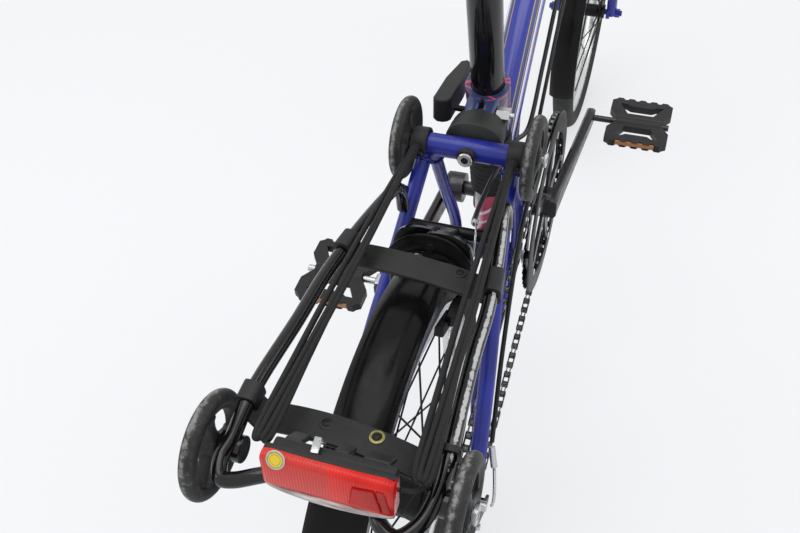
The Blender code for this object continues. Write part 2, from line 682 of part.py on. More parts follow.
def make_rear_frame():
    bar_left = CROSSBAR + Y_AXIS * CROSSBAR_HALF_LENGTH
    bar_right = CROSSBAR - Y_AXIS * CROSSBAR_HALF_LENGTH
    frame = tube([bar_right, CROSSBAR, bar_left], CROSSBAR_RADIUS, 12)
    for side in (1, -1):
        frame = joined(frame, tube(stay_points(side), STAY_RADIUS, 8))
        strut = smooth_path([(0.207, 0.0375 * side, 0.455), (0.256, 0.0380 * side, 0.372),
                             (0.295, 0.0355 * side, 0.300), (REAR_HINGE.x, 0.0345 * side, REAR_HINGE.z)], 4)
        frame = joined(frame, tube(strut, 0.0065, 6))
        lug = disc(REAR_HINGE, Y_AXIS, 0.0130, REAR_HINGE_HALF_WIDTH + GAP, 0.0400, 12)
        frame = joined(frame, lug if side > 0 else mirrored(lug))
        chainstay = [(REAR_HINGE.x, 0.0345 * side, REAR_HINGE.z), (0.190, 0.0375 * side, 0.2375),
                     (0.112, 0.0405 * side, 0.2257), (0.070, 0.0520 * side, 0.2190), (0.008, 0.0632 * side, TYRE_RADIUS)]
        frame = joined(frame, tube(chainstay, 0.0065, 6))
        dropout = plate([(-0.016, -0.012), (-0.006, -0.020), (0.014, -0.014), (0.024, 0.002), (0.014, 0.028),
                         (-0.004, 0.024), (-0.016, 0.010)], REAR_AXLE, X_AXIS, Z_AXIS,
                        REAR_HALF_WIDTH, REAR_HALF_WIDTH + DROPOUT_THICKNESS)
        frame = joined(frame, dropout if side < 0 else mirrored(dropout))
        roller = sided(FRONT_ROLLER, side)
        outward = Y_AXIS * side
        axle = disc(roller, outward, ROLLER_AXLE_RADIUS, -0.0190, 0.0120, 8)
        cap = disc(roller, outward, 0.0070, ROLLER_HALF_WIDTH + 0.0012, 0.0120, 8)
        frame = joined(frame, axle, cap)
    hanger = plate([(-0.012, -0.010), (0.014, -0.010), (GUIDE_PULLEY.x + 0.010, GUIDE_PULLEY.z - TYRE_RADIUS),
                    (GUIDE_PULLEY.x, GUIDE_PULLEY.z - TYRE_RADIUS - 0.009),
                    (GUIDE_PULLEY.x - 0.010, GUIDE_PULLEY.z - TYRE_RADIUS)],
                   REAR_AXLE, X_AXIS, Z_AXIS, REAR_HALF_WIDTH + 0.0012, REAR_HALF_WIDTH + DROPOUT_THICKNESS - 0.0006)
    pulley_pin = disc(GUIDE_PULLEY, Y_AXIS, 0.0035, -0.0700, CHAIN_Y + 0.004, 10)
    axle = disc(REAR_AXLE, Y_AXIS, AXLE_RADIUS, -0.0780, 0.0780, 12)
    nuts = [disc(REAR_AXLE, Y_AXIS, 0.0090, low, high, 6) for low, high in ((0.0610, 0.0700), (-0.0700, -0.0610))]
    away = (REAR_BRAKE - REAR_AXLE).normalized()
    back = Vector((-away.z, 0, away.x))
    bridge_at = Vector((0.1500, 0, 0.4010))
    bridge = tube([bridge_at - Y_AXIS * 0.0460, bridge_at + Y_AXIS * 0.0460], 0.0058, 8)
    brake_bolt = disc(REAR_BRAKE, back, BRAKE_BOLT_RADIUS, -0.024, 0.0125, 10)
    bolt_foot = REAR_BRAKE - back * 0.018
    bracket = block((bridge_at + bolt_foot) / 2, ((bridge_at - bolt_foot).length + 0.004, 0.0150, 0.0075),
                    Y_AXIS.cross(bolt_foot - bridge_at), bolt_foot - bridge_at)
    frame = joined(frame, bridge, bracket, brake_bolt, hanger, pulley_pin, axle, *nuts)
    hole = disc(REAR_HINGE, Y_AXIS, SPINDLE_RADIUS + 0.0006, -0.06, 0.06, 12)
    bolt_hole = disc(CROSSBAR, X_AXIS, 0.0042, -0.03, 0.03, 10)
    place("rear_frame", cut(frame, hole, bolt_hole), BLUE_PAINT, "rear_frame")


def make_suspension():
    """Rubber block between the crossbar and the seat tube, drawn together by one bolt."""
    face = CROSSBAR.x + CROSSBAR_RADIUS + GAP
    centre = Vector((face, CROSSBAR.y, CROSSBAR.z))
    rubber = turned([(0, 0.0050), (0, BLOCK_RADIUS - 0.003), (0.003, BLOCK_RADIUS),
                     (BLOCK_LENGTH - 0.006, BLOCK_RADIUS), (BLOCK_LENGTH, BLOCK_RADIUS - 0.005),
                     (BLOCK_LENGTH, 0.0050)], centre, X_AXIS, 20)
    tube_clearance = disc(SEAT_TUBE_FOOT, UP_TUBE, COLLAR_RADIUS + 0.0006, -0.02, SEAT_TUBE_LENGTH + 0.02, 20)
    ear_clearance = block(SEAT_TUBE_TOP - AHEAD * 0.028 - UP_TUBE * 0.0105,
                          (0.026, 0.0306, 0.0216), UP_TUBE, AHEAD)
    nut_clearance = disc(CLAMP_BOLT, Y_AXIS, 0.0085, -0.040, 0.040, 10)
    place("suspension_block", cut(rubber, tube_clearance, ear_clearance, nut_clearance), RUBBER, "rear_frame")
    head = disc(CROSSBAR, X_AXIS, 0.0070, -CROSSBAR_RADIUS - 0.0085, -CROSSBAR_RADIUS - GAP, 12)
    shank = disc(CROSSBAR, X_AXIS, 0.0036, -CROSSBAR_RADIUS - 0.004, CROSSBAR_RADIUS + 0.010, 10)
    place("suspension_bolt", joined(head, shank), STEEL, "rear_frame")


def make_rack():
    left = [(0.1500, 0.0475, 0.4180), (0.1440, 0.0475, 0.4400), (0.1250, 0.0480, 0.4550), (0.0622, 0.0570, RAIL_Z),
            (0.0030, 0.0625, RAIL_Z), (-0.0485, 0.0635, RAIL_Z), (-0.1036, 0.0665, 0.4570), (-0.1290, 0.0675, 0.4530),
            (-0.1506, 0.0665, 0.4440), (-0.1700, 0.0610, 0.4360), (-0.1830, 0.0490, 0.4330),
            (-0.1770, 0.0360, 0.4340), (-0.1630, 0.0260, 0.4360)]
    right = [(x, -(y + 0.002 + 0.005 * (0.15 - x) / 0.3), z) for x, y, z in left]
    path = smooth_path(left + [(-0.1590, -0.004, 0.4370)] + right[::-1], 41)
    rack = tube(path, RAIL_RADIUS, 6)
    for side, rail_y, roller_y in ((1, 0.0665, REAR_ROLLER.y), (-1, 0.0735, REAR_ROLLER_RIGHT)):
        foot = Vector((REAR_ROLLER.x, 0, REAR_ROLLER.z))
        near = roller_y - ROLLER_HALF_WIDTH - 0.0012
        far = roller_y + ROLLER_HALF_WIDTH + 0.0012
        boss = disc(foot + Z_AXIS * 0.004, Y_AXIS * side, 0.0095, rail_y - 0.006, near, 10)
        bolt = joined(disc(foot, Y_AXIS * side, ROLLER_AXLE_RADIUS, rail_y - 0.005, far + 0.003, 8),
                      disc(foot, Y_AXIS * side, 0.0070, far, far + 0.0030, 8))
        rack = joined(rack, boss, bolt)
    stays = [tube(stay_points(side), STAY_RADIUS + GAP, 8) for side in (1, -1)]
    place("rear_rack", cut(rack, *stays), BLACK_PAINT, "rear_frame")


def arched_plate(name, x, depth, left_y, right_y, edge_z, crown, skew):
    """Moulded bridge under the rails, arched towards its middle."""
    rings = []
    for step in range(9):
        t = step / 8
        y = left_y + (right_y - left_y) * t
        rise = crown * math.sin(math.pi * t) ** 0.7 if 0 < t < 1 else 0.0
        centre = x + skew * (t - 0.5)
        top = edge_z + rise
        rings.append([Vector((centre - depth / 2, y, top - 0.0040)), Vector((centre + depth / 2, y, top - 0.0040)),
                      Vector((centre + depth / 2, y, top - 0.0012)), Vector((centre + depth / 2 - 0.0015, y, top)),
                      Vector((centre - depth / 2 + 0.0015, y, top)), Vector((centre - depth / 2, y, top - 0.0012))])
    place(name, lofted(rings), BLACK_PLASTIC, "rear_frame")


def make_bungee(name, side, front_y, back_y):
    """Elastic loop from the crossbar's end to the rear plate, there and back side by side."""
    half = 0.0040
    height = 0.4690
    loop = []
    for t in (0.0, 0.33, 0.66, 1.0):
        loop.append((0.170 - 0.322 * t, front_y + (back_y - front_y) * t + half, height - 0.001 * t))
    loop.append((-0.1570, back_y, height - 0.001))
    for t in (1.0, 0.66, 0.33, 0.0):
        loop.append((0.170 - 0.322 * t, front_y + (back_y - front_y) * t - half, height - 0.001 * t))
    cord = tube(smooth_path(loop, 23), BUNGEE_RADIUS, 6)
    tab_top = CROSSBAR.z + CROSSBAR_RADIUS
    tab = block(Vector((0.1905, front_y, tab_top + GAP + 0.0020)), (0.0480, 0.0155, 0.0040), rounding=0.0008)
    place(name, joined(cord, tab), WOVEN_CORD, "rear_frame", has_flats=False)


def make_roller(name, body):
    """Rubber-shod wheel with three open spokes on a plain bearing."""
    centre = BODIES[body][0]
    w = ROLLER_HALF_WIDTH
    tread = turned([(-w, 0.0270), (-w, 0.0350), (-w * 0.55, ROLLER_RADIUS), (w * 0.55, ROLLER_RADIUS),
                    (w, 0.0350), (w, 0.0270)], centre, Y_AXIS, 16)
    hub = disc(centre, Y_AXIS, 0.0100, -w, w, 10)
    spokes = []
    for arm in range(3):
        angle = math.radians(90 + 120 * arm)
        out = Vector((math.cos(angle), 0, math.sin(angle)))
        spokes.append(block(centre + out * 0.0185, (0.0240, w * 1.2, 0.0080), Y_AXIS.cross(out), out))
    wheel = joined(tread, hub, *spokes)
    bore = disc(centre, Y_AXIS, ROLLER_AXLE_RADIUS + RUNNING_GAP, -0.02, 0.02, 8)
    place(name, cut(wheel, bore), RUBBER, body)


def guard_profile(outer, half_width, offset):
    """Arched sheet with lips, as (across, radius) round the axle."""
    outside = [(-1, 0.0150), (-1, 0.0070), (-0.55, 0.0008), (0.55, 0.0008), (1, 0.0070), (1, 0.0150)]
    top = [(offset + a * half_width, outer - drop) for a, drop in outside]
    inner_half = half_width - GUARD_SHEET
    under = [(offset + a * inner_half, outer - GUARD_SHEET - (drop if abs(a) < 1 else min(drop, 0.0150 - GUARD_SHEET)))
             for a, drop in reversed(outside)]
    return top + under


def make_mudguards():
    rear = turned(guard_profile(REAR_GUARD_RADIUS, GUARD_HALF_WIDTH, REAR_GUARD_Y), REAR_AXLE, Y_AXIS, 10,
                  math.radians(-153), math.radians(90))
    place("rear_mudguard", rear, BLACK_PAINT, "rear_frame")
    front = turned(guard_profile(FRONT_GUARD_RADIUS, GUARD_HALF_WIDTH, 0), FRONT_AXLE, Y_AXIS, 16,
                   math.radians(-196), math.radians(158))
    place("front_mudguard", front, BLACK_PAINT, "steering")


# Light
def make_light():
    middle = Vector((-0.1680, -0.0135, 0.4625))
    lens = block(middle - X_AXIS * 0.0040, (0.0120, 0.0870, 0.0390), rounding=0.0045)
    place("rear_light_lens", lens, RED_LENS, "rear_frame")
    base = block(middle + X_AXIS * (0.0020 + GAP + 0.0040), (0.0080, 0.0820, 0.0320), rounding=0.0030)
    rail_clearance = tube(smooth_path([(-0.1770, 0.0360, 0.4340), (-0.1630, 0.0260, 0.4360), (-0.1590, -0.004, 0.4370),
                                       (-0.1630, -0.0400, 0.4360), (-0.1770, -0.0500, 0.4340)], 15), RAIL_RADIUS + 0.0008, 8)
    place("rear_light_housing", cut(base, rail_clearance), BLACK_PLASTIC, "rear_frame")


# Brakes
def make_brake(prefix, pivot, axle, ahead_sign):
    """Two arms on one bolt; each reaches round the tyre to its block at the rim."""
    down = (axle - pivot).normalized()
    reach = (axle - pivot).length - 0.1735
    facing = down.cross(Y_AXIS).normalized() * ahead_sign
    for side, label, layer in ((1, "left", 0.0002), (-1, "right", -BRAKE_ARM_THICKNESS - 0.0002)):
        outline = [(-0.009, -0.0065), (-0.010, 0.020), (0.004, 0.0355), (reach - 0.012, 0.0355), (reach + 0.005, 0.0300),
                   (reach + 0.006, 0.0190), (reach - 0.008, 0.0190), (reach - 0.016, 0.0265), (0.013, 0.0265),
                   (0.0065, 0.0120), (0.0085, -0.0065)]
        across = down
        along = Y_AXIS * side
        normal = across.cross(along).normalized()
        low = layer if normal.dot(facing) > 0 else -layer - BRAKE_ARM_THICKNESS
        arm = plate(outline, pivot, across, along, low, low + BRAKE_ARM_THICKNESS)
        pad_in = RIM_HALF_WIDTH + PAD_CLEARANCE
        pad = block(pivot + down * reach + Y_AXIS * side * (pad_in + 0.0045), (0.0100, 0.0090, 0.0400),
                    facing, down, 0.0010)
        arm = joined(arm, pad)
        hole = disc(pivot, facing, BRAKE_BOLT_RADIUS + RUNNING_GAP, -0.03, 0.03, 10)
        place(f"{prefix}_brake_arm_{label}", cut(arm, hole), BLACK_ALLOY, f"{prefix}_brake_arm_{label}")


# Wheels
def make_tyre(name, centre, body):
    seat = RIM_HALF_WIDTH - RIM_WALL - GAP
    foot = RIM_EDGE_RADIUS - 0.012
    half = [(seat, foot), (seat, RIM_EDGE_RADIUS + GAP),
            (TYRE_HALF_WIDTH, RIM_EDGE_RADIUS + 0.0115), (TYRE_HALF_WIDTH * 0.72, TYRE_RADIUS - 0.0050)]
    profile = half + [(0, TYRE_RADIUS)] + [(-a, r) for a, r in reversed(half)]
    place(name, turned(profile, centre, Y_AXIS, WHEEL_STEPS), RUBBER, body)


def make_rim(name, centre, body):
    w = RIM_HALF_WIDTH
    inner = w - RIM_WALL
    floor = RIM_EDGE_RADIUS - 0.0128
    deep = RIM_EDGE_RADIUS - RIM_DEPTH
    profile = [(inner, RIM_EDGE_RADIUS), (inner, floor), (-inner, floor), (-inner, RIM_EDGE_RADIUS),
               (-w, RIM_EDGE_RADIUS), (-w, deep + 0.004), (-w * 0.3, deep), (w * 0.3, deep), (w, deep + 0.004),
               (w, RIM_EDGE_RADIUS)]
    place(name, turned(profile, centre, Y_AXIS, WHEEL_STEPS), SILVER, body)


def make_spokes(name, centre, body, count, shell, flange, flange_y, bore, stub=0.0):
    """Hub shell with two flanges; half the spokes of each flange lead and half trail, in two planes."""
    half = flange_y + 0.0080
    profile = [(-half, bore), (-half, flange * 0.62), (-flange_y - 0.003, flange), (-flange_y + 0.003, flange),
               (-flange_y + 0.005, shell), (flange_y - 0.005, shell), (flange_y - 0.003, flange),
               (flange_y + 0.003, flange), (half, flange * 0.62), (half, bore)]
    hub = turned(profile, centre, Y_AXIS, 14)
    if stub:
        hub = joined(hub, disc(centre, Y_AXIS, 0.0150, stub, -half + 0.001, 16, bore))
    rods = bmesh.new()
    rim_at = (RIM_EDGE_RADIUS - RIM_DEPTH) * math.cos(math.pi / WHEEL_STEPS) - GAP * 2
    for index in range(count):
        side = 1 if index % 2 else -1
        lead = 1 if (index // 2) % 2 else -1
        rim_angle = 2 * math.pi * index / count
        hub_angle = rim_angle + lead * math.radians(58)
        root = flange - 0.0030
        start = centre + Vector((math.cos(hub_angle) * root, side * (flange_y + 0.0014 * lead), math.sin(hub_angle) * root))
        end = centre + Vector((math.cos(rim_angle) * rim_at, side * 0.0025, math.sin(rim_angle) * rim_at))
        made = bmesh.ops.create_cone(rods, cap_ends=True, segments=3, radius1=SPOKE_RADIUS, radius2=SPOKE_RADIUS,
                                     depth=(end - start).length)
        turn = Matrix.Translation((start + end) / 2) @ axes_along(end - start)
        bmesh.ops.transform(rods, matrix=turn, verts=made["verts"])
    place(name, joined(hub, mesh_from(rods)), BLACK_ALLOY, body)


# Chain drive
def chain_pins():
    """The pins' places on the path and the first pin on each wheel."""
    total = CHAIN_LINKS * PITCH
    pins = [belt_point(CHAIN_PATH, index * PITCH % total) for index in range(CHAIN_LINKS)]
    phases = []
    for centre, radius, _ in DRIVE:
        held = [pin for pin in pins if abs(abs(pin - centre) - radius) < 2e-5]
        phases.append(cmath.phase(held[len(held) // 2] - centre))
    return pins, phases


def toothed_outline(teeth, phase, root, tip, base, crest):
    """Outline of a chain wheel whose teeth stand between the pins; widths are measured round the wheel."""
    outline = []
    for index in range(teeth):
        middle = phase + (index + 0.5) * 2 * math.pi / teeth
        for radius, width in ((root, -base), (tip, -crest), (tip, crest), (root, base)):
            angle = middle + width / (2 * radius)
            outline.append((radius * math.cos(angle), radius * math.sin(angle)))
    return outline


def toothed_wheel(centre, teeth, phase, bore, root_drop, tip_rise, base, crest):
    radius = wheel_radius(teeth)
    outline = toothed_outline(teeth, phase, radius - root_drop, radius + tip_rise, base, crest)
    body = plate(outline, Vector((centre.x, 0, centre.z)), X_AXIS, Z_AXIS,
                 -CHAIN_Y - TOOTH_THICKNESS / 2, -CHAIN_Y + TOOTH_THICKNESS / 2)
    return cut(body, disc(Vector((centre.x, CHAIN_Y, centre.z)), Y_AXIS, bore, -0.02, 0.02, 20))


def make_chain(pins):
    """Two rows of link plates joined by a roller at every pin; the plates narrow between pins."""
    plate_in = 0.0017
    plate_out = 0.0037
    full = 0.0042
    roller_half = 0.0026
    count = len(pins)
    stations = []
    for index, pin in enumerate(pins):
        after = pins[(index + 1) % count]
        before = pins[index - 1]
        heading = (after - before) / abs(after - before)
        normal = heading * 1j
        stations.append((pin - heading * roller_half, normal * full))
        stations.append((pin + heading * roller_half, normal * full))
    bm = bmesh.new()
    rows = []
    for middle, offset in stations:
        row = []
        for y in (-plate_out, -plate_in, plate_in, plate_out):
            for point in (middle - offset, middle + offset):
                row.append(bm.verts.new((point.real, CHAIN_Y + y, point.imag)))
        rows.append(row)
    for index, row in enumerate(rows):
        following = rows[(index + 1) % len(rows)]
        roller = index % 2 == 0
        strips = ((0, 2, 4, 6),) if roller else ((0, 2), (4, 6))
        for strip in strips:
            for low, high in zip(strip, strip[1:]):
                bm.faces.new((row[low], row[high], following[high], following[low]))
                bm.faces.new((row[low + 1], following[low + 1], following[high + 1], row[high + 1]))
            for edge in (strip[0], strip[-1]):
                bm.faces.new((row[edge], following[edge], following[edge + 1], row[edge + 1]))
        if roller:
            for end in (row, following):
                bm.faces.new((end[2], end[3], end[5], end[4]))
    place("chain", mesh_from(bm), STEEL, "rear_frame")


def make_drive():
    pins, phases = chain_pins()
    make_chain(pins)
    ring = toothed_wheel(BOTTOM_BRACKET, RING_TEETH, phases[0], 0.0800, 0.0050, 0.0034, 0.0060, 0.0018)
    guard = disc(BOTTOM_BRACKET, Y_AXIS, GUARD_RADIUS, -0.0568, -0.0550, 30, 0.0830)
    bosses = []
    for arm in range(5):
        angle = CRANK_ANGLE + 2 * math.pi * (arm + 0.5) / 5
        at = BOTTOM_BRACKET + Vector((math.cos(angle), 0, math.sin(angle))) * 0.0885
        bosses.append(disc(at, Y_AXIS, 0.0045, -0.0560, CHAIN_Y, 8))
    place("chainring", joined(ring, guard, *bosses), BLACK_ALLOY, "crankset")

    sprocket = toothed_wheel(REAR_AXLE, SPROCKET_TEETH, phases[1], 0.0160, 0.0048, 0.0030, 0.0044, 0.0016)
    place("rear_sprocket", sprocket, STEEL, "rear_sprocket")
    for label, index, centre in (("guide_pulley", 2, GUIDE_PULLEY), ("tension_pulley", 3, TENSION_PULLEY)):
        wheel = toothed_wheel(centre, JOCKEY_TEETH, phases[index], 0.0042, 0.0048, 0.0030, 0.0040, 0.0016)
        place(label, wheel, BLACK_PLASTIC, label)

    reach = (TENSION_PULLEY - GUIDE_PULLEY).normalized()
    side = Vector((-reach.z, 0, reach.x))
    bar = plate([(-0.007, -0.007), (TENSION_ARM + 0.006, -0.006), (TENSION_ARM + 0.006, 0.006), (-0.007, 0.007)],
                GUIDE_PULLEY, reach, side, 0.0628, 0.0660)
    pin = disc(TENSION_PULLEY, Y_AXIS, 0.0035, -0.0640, CHAIN_Y + 0.004, 10)
    hole = disc(GUIDE_PULLEY, Y_AXIS, 0.0035 + RUNNING_GAP, -0.08, -0.05, 12)
    place("chain_tensioner", cut(joined(bar, pin), hole), BLACK_ALLOY, "chain_tensioner")


def crank_ring(centre, out, half_height, half_thick):
    """Section of a crank arm: a flattened hexagon."""
    up = Y_AXIS.cross(out)
    return [centre + up * (half_height * a) + Y_AXIS * (half_thick * b)
            for a, b in ((-1, -0.5), (-0.7, -1), (0.7, -1), (1, -0.5), (1, 0.5), (0.7, 1), (-0.7, 1), (-1, 0.5))]


def crank_arm(side):
    out = CRANK_DIRECTION * (1 if side < 0 else -1)
    rings = []
    for distance, half_height in ((-0.012, 0.0125), (0.0, 0.0160), (0.040, 0.0135), (0.150, 0.0110),
                                  (CRANK_LENGTH, 0.0098), (CRANK_LENGTH + 0.010, 0.0070)):
        share = min(1, max(0, distance / CRANK_LENGTH))
        y = side * (CRANK_ROOT_Y + (CRANK_END_Y - CRANK_ROOT_Y) * share)
        rings.append(crank_ring(BOTTOM_BRACKET + out * distance + Y_AXIS * y, out, half_height, CRANK_THICKNESS / 2))
    return lofted(rings)


def make_cranks():
    right = crank_arm(-1)
    boss = disc(BOTTOM_BRACKET, Y_AXIS, 0.0180, -0.0600, -0.0440, 16)
    right = joined(right, boss)
    for arm in range(5):
        angle = CRANK_ANGLE + 2 * math.pi * arm / 5
        out = Vector((math.cos(angle), 0, math.sin(angle)))
        up = Y_AXIS.cross(out)
        spider = plate([(0.008, -0.0095), (0.0840, -0.0060), (0.0895, -0.0020), (0.0895, 0.0020), (0.0840, 0.0060),
                        (0.008, 0.0095)], BOTTOM_BRACKET, out, -up, 0.0510, 0.0546)
        right = joined(right, spider)
    right_pin = disc(RIGHT_PEDAL, Y_AXIS, PEDAL_SPINDLE_RADIUS, -0.0370, PEDAL_CENTRE_Y - CRANK_END_Y, 10)
    socket = disc(BOTTOM_BRACKET, Y_AXIS, CRANK_AXLE_RADIUS + GAP, -0.0560, -0.02, 12)
    place("crank_right", joined(cut(right, socket), right_pin), BLACK_ALLOY, "crankset")

    left = joined(crank_arm(1), disc(BOTTOM_BRACKET, Y_AXIS, 0.0180, 0.0440, 0.0600, 16),
                  disc(BOTTOM_BRACKET, Y_AXIS, CRANK_AXLE_RADIUS, -0.0550, 0.0500, 12))
    crank_end = BOTTOM_BRACKET - CRANK_DIRECTION * CRANK_LENGTH
    hinge = disc(PEDAL_FOLD, CRANK_DIRECTION, 0.0042, -0.0125, 0.0125, 10)
    ears = [block(crank_end + Y_AXIS * 0.0880 + CRANK_DIRECTION * shift, (0.0042, 0.0170, 0.0110),
                  CRANK_UP, CRANK_DIRECTION) for shift in (-0.0104, 0.0104)]
    place("crank_left", joined(left, *ears, hinge), BLACK_ALLOY, "crankset")


# Pedals
def pedal_outline():
    """Hourglass platform with a toothed front and back edge."""
    half_w = PEDAL_HALF_WIDTH
    half_l = PEDAL_HALF_LENGTH
    teeth = 5
    tooth = 0.0030
    front = []
    step = 2 * half_w * 0.92 / teeth
    for index in range(teeth):
        start = -half_w * 0.92 + step * index
        front += [(half_l - tooth, start + step * 0.12), (half_l, start + step * 0.28),
                  (half_l, start + step * 0.72), (half_l - tooth, start + step * 0.88)]
    side = [(half_l - 0.006, half_w), (half_l * 0.42, half_w), (half_l * 0.10, half_w * 0.74),
            (-half_l * 0.10, half_w * 0.74), (-half_l * 0.42, half_w), (-half_l + 0.006, half_w)]
    back = [(-x, -y) for x, y in front]
    other = [(-x, -y) for x, y in side]
    return front + side + back + other


def make_pedal(label, centre, body, side, tilt):
    along = Vector((math.cos(tilt), 0, math.sin(tilt)))
    up = Y_AXIS.cross(along) * -1
    body_plate = plate(pedal_outline(), centre, along, Y_AXIS, -PEDAL_HEIGHT / 2, PEDAL_HEIGHT / 2)
    windows = []
    for sign in (1, -1):
        near = PEDAL_HALF_LENGTH * 0.30 * sign
        far = PEDAL_HALF_LENGTH * 0.74 * sign
        windows.append(plate([(near, -0.016), (near, 0.016), (far, 0.027), (far, 0.019),
                              (far - 0.004 * sign, 0.013), (far - 0.004 * sign, -0.013), (far, -0.019), (far, -0.027)],
                             centre, along, Y_AXIS, -0.02, 0.02))
    barrel = disc(centre, Y_AXIS, 0.0078, -PEDAL_HALF_WIDTH * 0.72, PEDAL_HALF_WIDTH * 0.72, 12)
    bore = disc(centre, Y_AXIS, PEDAL_SPINDLE_RADIUS + 0.0008, -0.06, 0.06, 12)
    pocket_at = centre - along * (PEDAL_HALF_LENGTH - 0.0020)
    pocket = block(pocket_at, (0.0090, 0.0500, 0.0078), up, along)
    place(f"pedal_{label}", cut(joined(body_plate, barrel), *windows, bore, pocket), BLACK_PLASTIC, body)
    reflector_at = centre - along * (PEDAL_HALF_LENGTH - 0.0030)
    reflector = block(reflector_at, (0.0045, 0.0488, 0.0066), up, along, 0.0008)
    place(f"pedal_{label}_reflector", reflector, AMBER, body)


def make_pedals():
    make_pedal("right", RIGHT_PEDAL, "pedal_right", -1, PEDAL_TILT)
    make_pedal("left", LEFT_PEDAL, "pedal_left", 1, PEDAL_TILT)
    end = Vector((LEFT_PEDAL.x, 0, LEFT_PEDAL.z))
    bracket = block(end + Y_AXIS * PEDAL_FOLD_Y, (0.0160, 0.0138, 0.0126), CRANK_UP, CRANK_DIRECTION, 0.0015)
    rod = disc(end, Y_AXIS, PEDAL_SPINDLE_RADIUS, 0.0950, 0.1770, 10)
    bracket = joined(bracket, rod)
    bore = disc(PEDAL_FOLD, CRANK_DIRECTION, 0.0042 + RUNNING_GAP, -0.02, 0.02, 12)
    place("pedal_left_bracket", cut(bracket, bore), STEEL, "pedal_left_bracket")


# Main frame, front half
def make_front_frame():
    half = hinge_half(1, ((-0.0095 + GAP, 0.0095 - GAP),))
    path = smooth_path([(MAIN_HINGE.x + 0.010, 0, MAIN_HINGE.z), (0.845, 0, MAIN_HINGE.z - 0.001),
                        (0.905, 0, MAIN_HINGE.z - 0.004)], 4)
    head_low = HEAD_BOTTOM_AT
    head = turned([(head_low, 0), (head_low, HEAD_TUBE_RADIUS + 0.002), (head_low + 0.010, HEAD_TUBE_RADIUS + 0.002),
                   (head_low + 0.012, HEAD_TUBE_RADIUS), (HEAD_TOP_AT - 0.012, HEAD_TUBE_RADIUS),
                   (HEAD_TOP_AT - 0.010, HEAD_TUBE_RADIUS + 0.002), (HEAD_TOP_AT, HEAD_TUBE_RADIUS + 0.002),
                   (HEAD_TOP_AT, 0)], STEERING_FOOT, UP_TUBE, 18)
    frame = joined(half, tube(path, MAIN_TUBE_RADIUS, 12), head)
    bore = disc(STEERING_FOOT, UP_TUBE, HEAD_TUBE_BORE, HEAD_BOTTOM_AT - 0.05, HEAD_TOP_AT + 0.05, 16)
    pin_bore = disc(MAIN_HINGE, Z_AXIS, MAIN_HINGE_PIN_RADIUS + RUNNING_GAP, -0.05, 0.05, 12)
    place("front_frame", cut(frame, bore, pin_bore), NAVY_PAINT, "front_frame")

    knob = MAIN_HINGE - Y_AXIS * MAIN_HINGE.y
    outer = -0.0225
    lever = joined(disc(knob, Y_AXIS, 0.0110, outer - 0.0140, outer - 0.0010, 12),
                   plate([(-0.004, -0.0075), (0.040, -0.0060), (0.062, -0.0030), (0.062, 0.0030), (0.040, 0.0060),
                          (-0.004, 0.0075)], knob, -Z_AXIS, X_AXIS, 0.0050 - outer, 0.0130 - outer))
    place("main_hinge_clamp", lever, BLACK_PLASTIC, "main_hinge_clamp")


# Fork and handlepost
def make_fork():
    crown = block(steering(CROWN_AT), (0.030, 0.1020, 0.020), UP_TUBE, AHEAD, 0.004)
    steerer = disc(STEERING_FOOT, UP_TUBE, STEERER_RADIUS, CROWN_AT, POST_HINGE_AT - 0.010, 16)
    race = disc(STEERING_FOOT, UP_TUBE, 0.0190, CROWN_AT + 0.008, HEAD_BOTTOM_AT - RUNNING_GAP, 16)
    top = disc(STEERING_FOOT, UP_TUBE, 0.0205, HEAD_TOP_AT + RUNNING_GAP, POST_HINGE_AT - 0.0012, 16)
    fork = joined(crown, steerer, race, top)
    for side in (1, -1):
        blade = [steering(CROWN_AT, 0, 0.0440 * side), FRONT_AXLE + Vector((-0.020, 0.0455 * side, 0.050)),
                 FRONT_AXLE + Vector((-0.001, 0.0460 * side, -0.002))]
        fork = joined(fork, tube(blade, FORK_BLADE_RADIUS, 8))
        tip = disc(FRONT_AXLE, Y_AXIS * side, 0.0120, FRONT_HALF_WIDTH, FRONT_HALF_WIDTH + 0.0060, 12)
        nut = disc(FRONT_AXLE, Y_AXIS * side, 0.0075, FRONT_HALF_WIDTH + 0.014, FRONT_HALF_WIDTH + 0.0230, 6)
        fork = joined(fork, tip, nut)
    axle = disc(FRONT_AXLE, Y_AXIS, AXLE_RADIUS, -0.0640, 0.0640, 12)
    bolt_axis = (FRONT_AXLE - FRONT_BRAKE).normalized().cross(Y_AXIS).normalized()
    if bolt_axis.x > 0:
        bolt_axis = -bolt_axis
    brake_bolt = disc(FRONT_BRAKE, bolt_axis, BRAKE_BOLT_RADIUS, -0.0125, 0.0180, 10)
    arm_at = steering(POST_HINGE_AT - 0.010) + POST_HINGE_SIDE * 0.0210
    arm = block(arm_at, (0.0240, 0.0130, 0.0150), UP_TUBE, POST_HINGE_SIDE)
    fork = joined(fork, axle, brake_bolt, arm)
    for low, high in ((-0.0195, -0.0070), (0.0070, 0.0195)):
        ear = disc(POST_HINGE, POST_HINGE_AXIS, 0.0080, low, high, 12)
        link = block(POST_HINGE - UP_TUBE * 0.0075 - POST_HINGE_SIDE * 0.0065 + POST_HINGE_AXIS * (low + high) / 2,
                     (0.0190, high - low, 0.0080), UP_TUBE, POST_HINGE_SIDE)
        fork = joined(fork, link, ear)
    bridge = block(POST_HINGE - UP_TUBE * 0.0131 - POST_HINGE_SIDE * 0.0120, (0.0100, 0.0390, 0.0090), UP_TUBE, POST_HINGE_SIDE)
    pin = disc(POST_HINGE, POST_HINGE_AXIS, POST_PIN_RADIUS, -0.0215, 0.0215, 10)
    place("fork", joined(fork, bridge, pin), BLUE_PAINT, "steering")


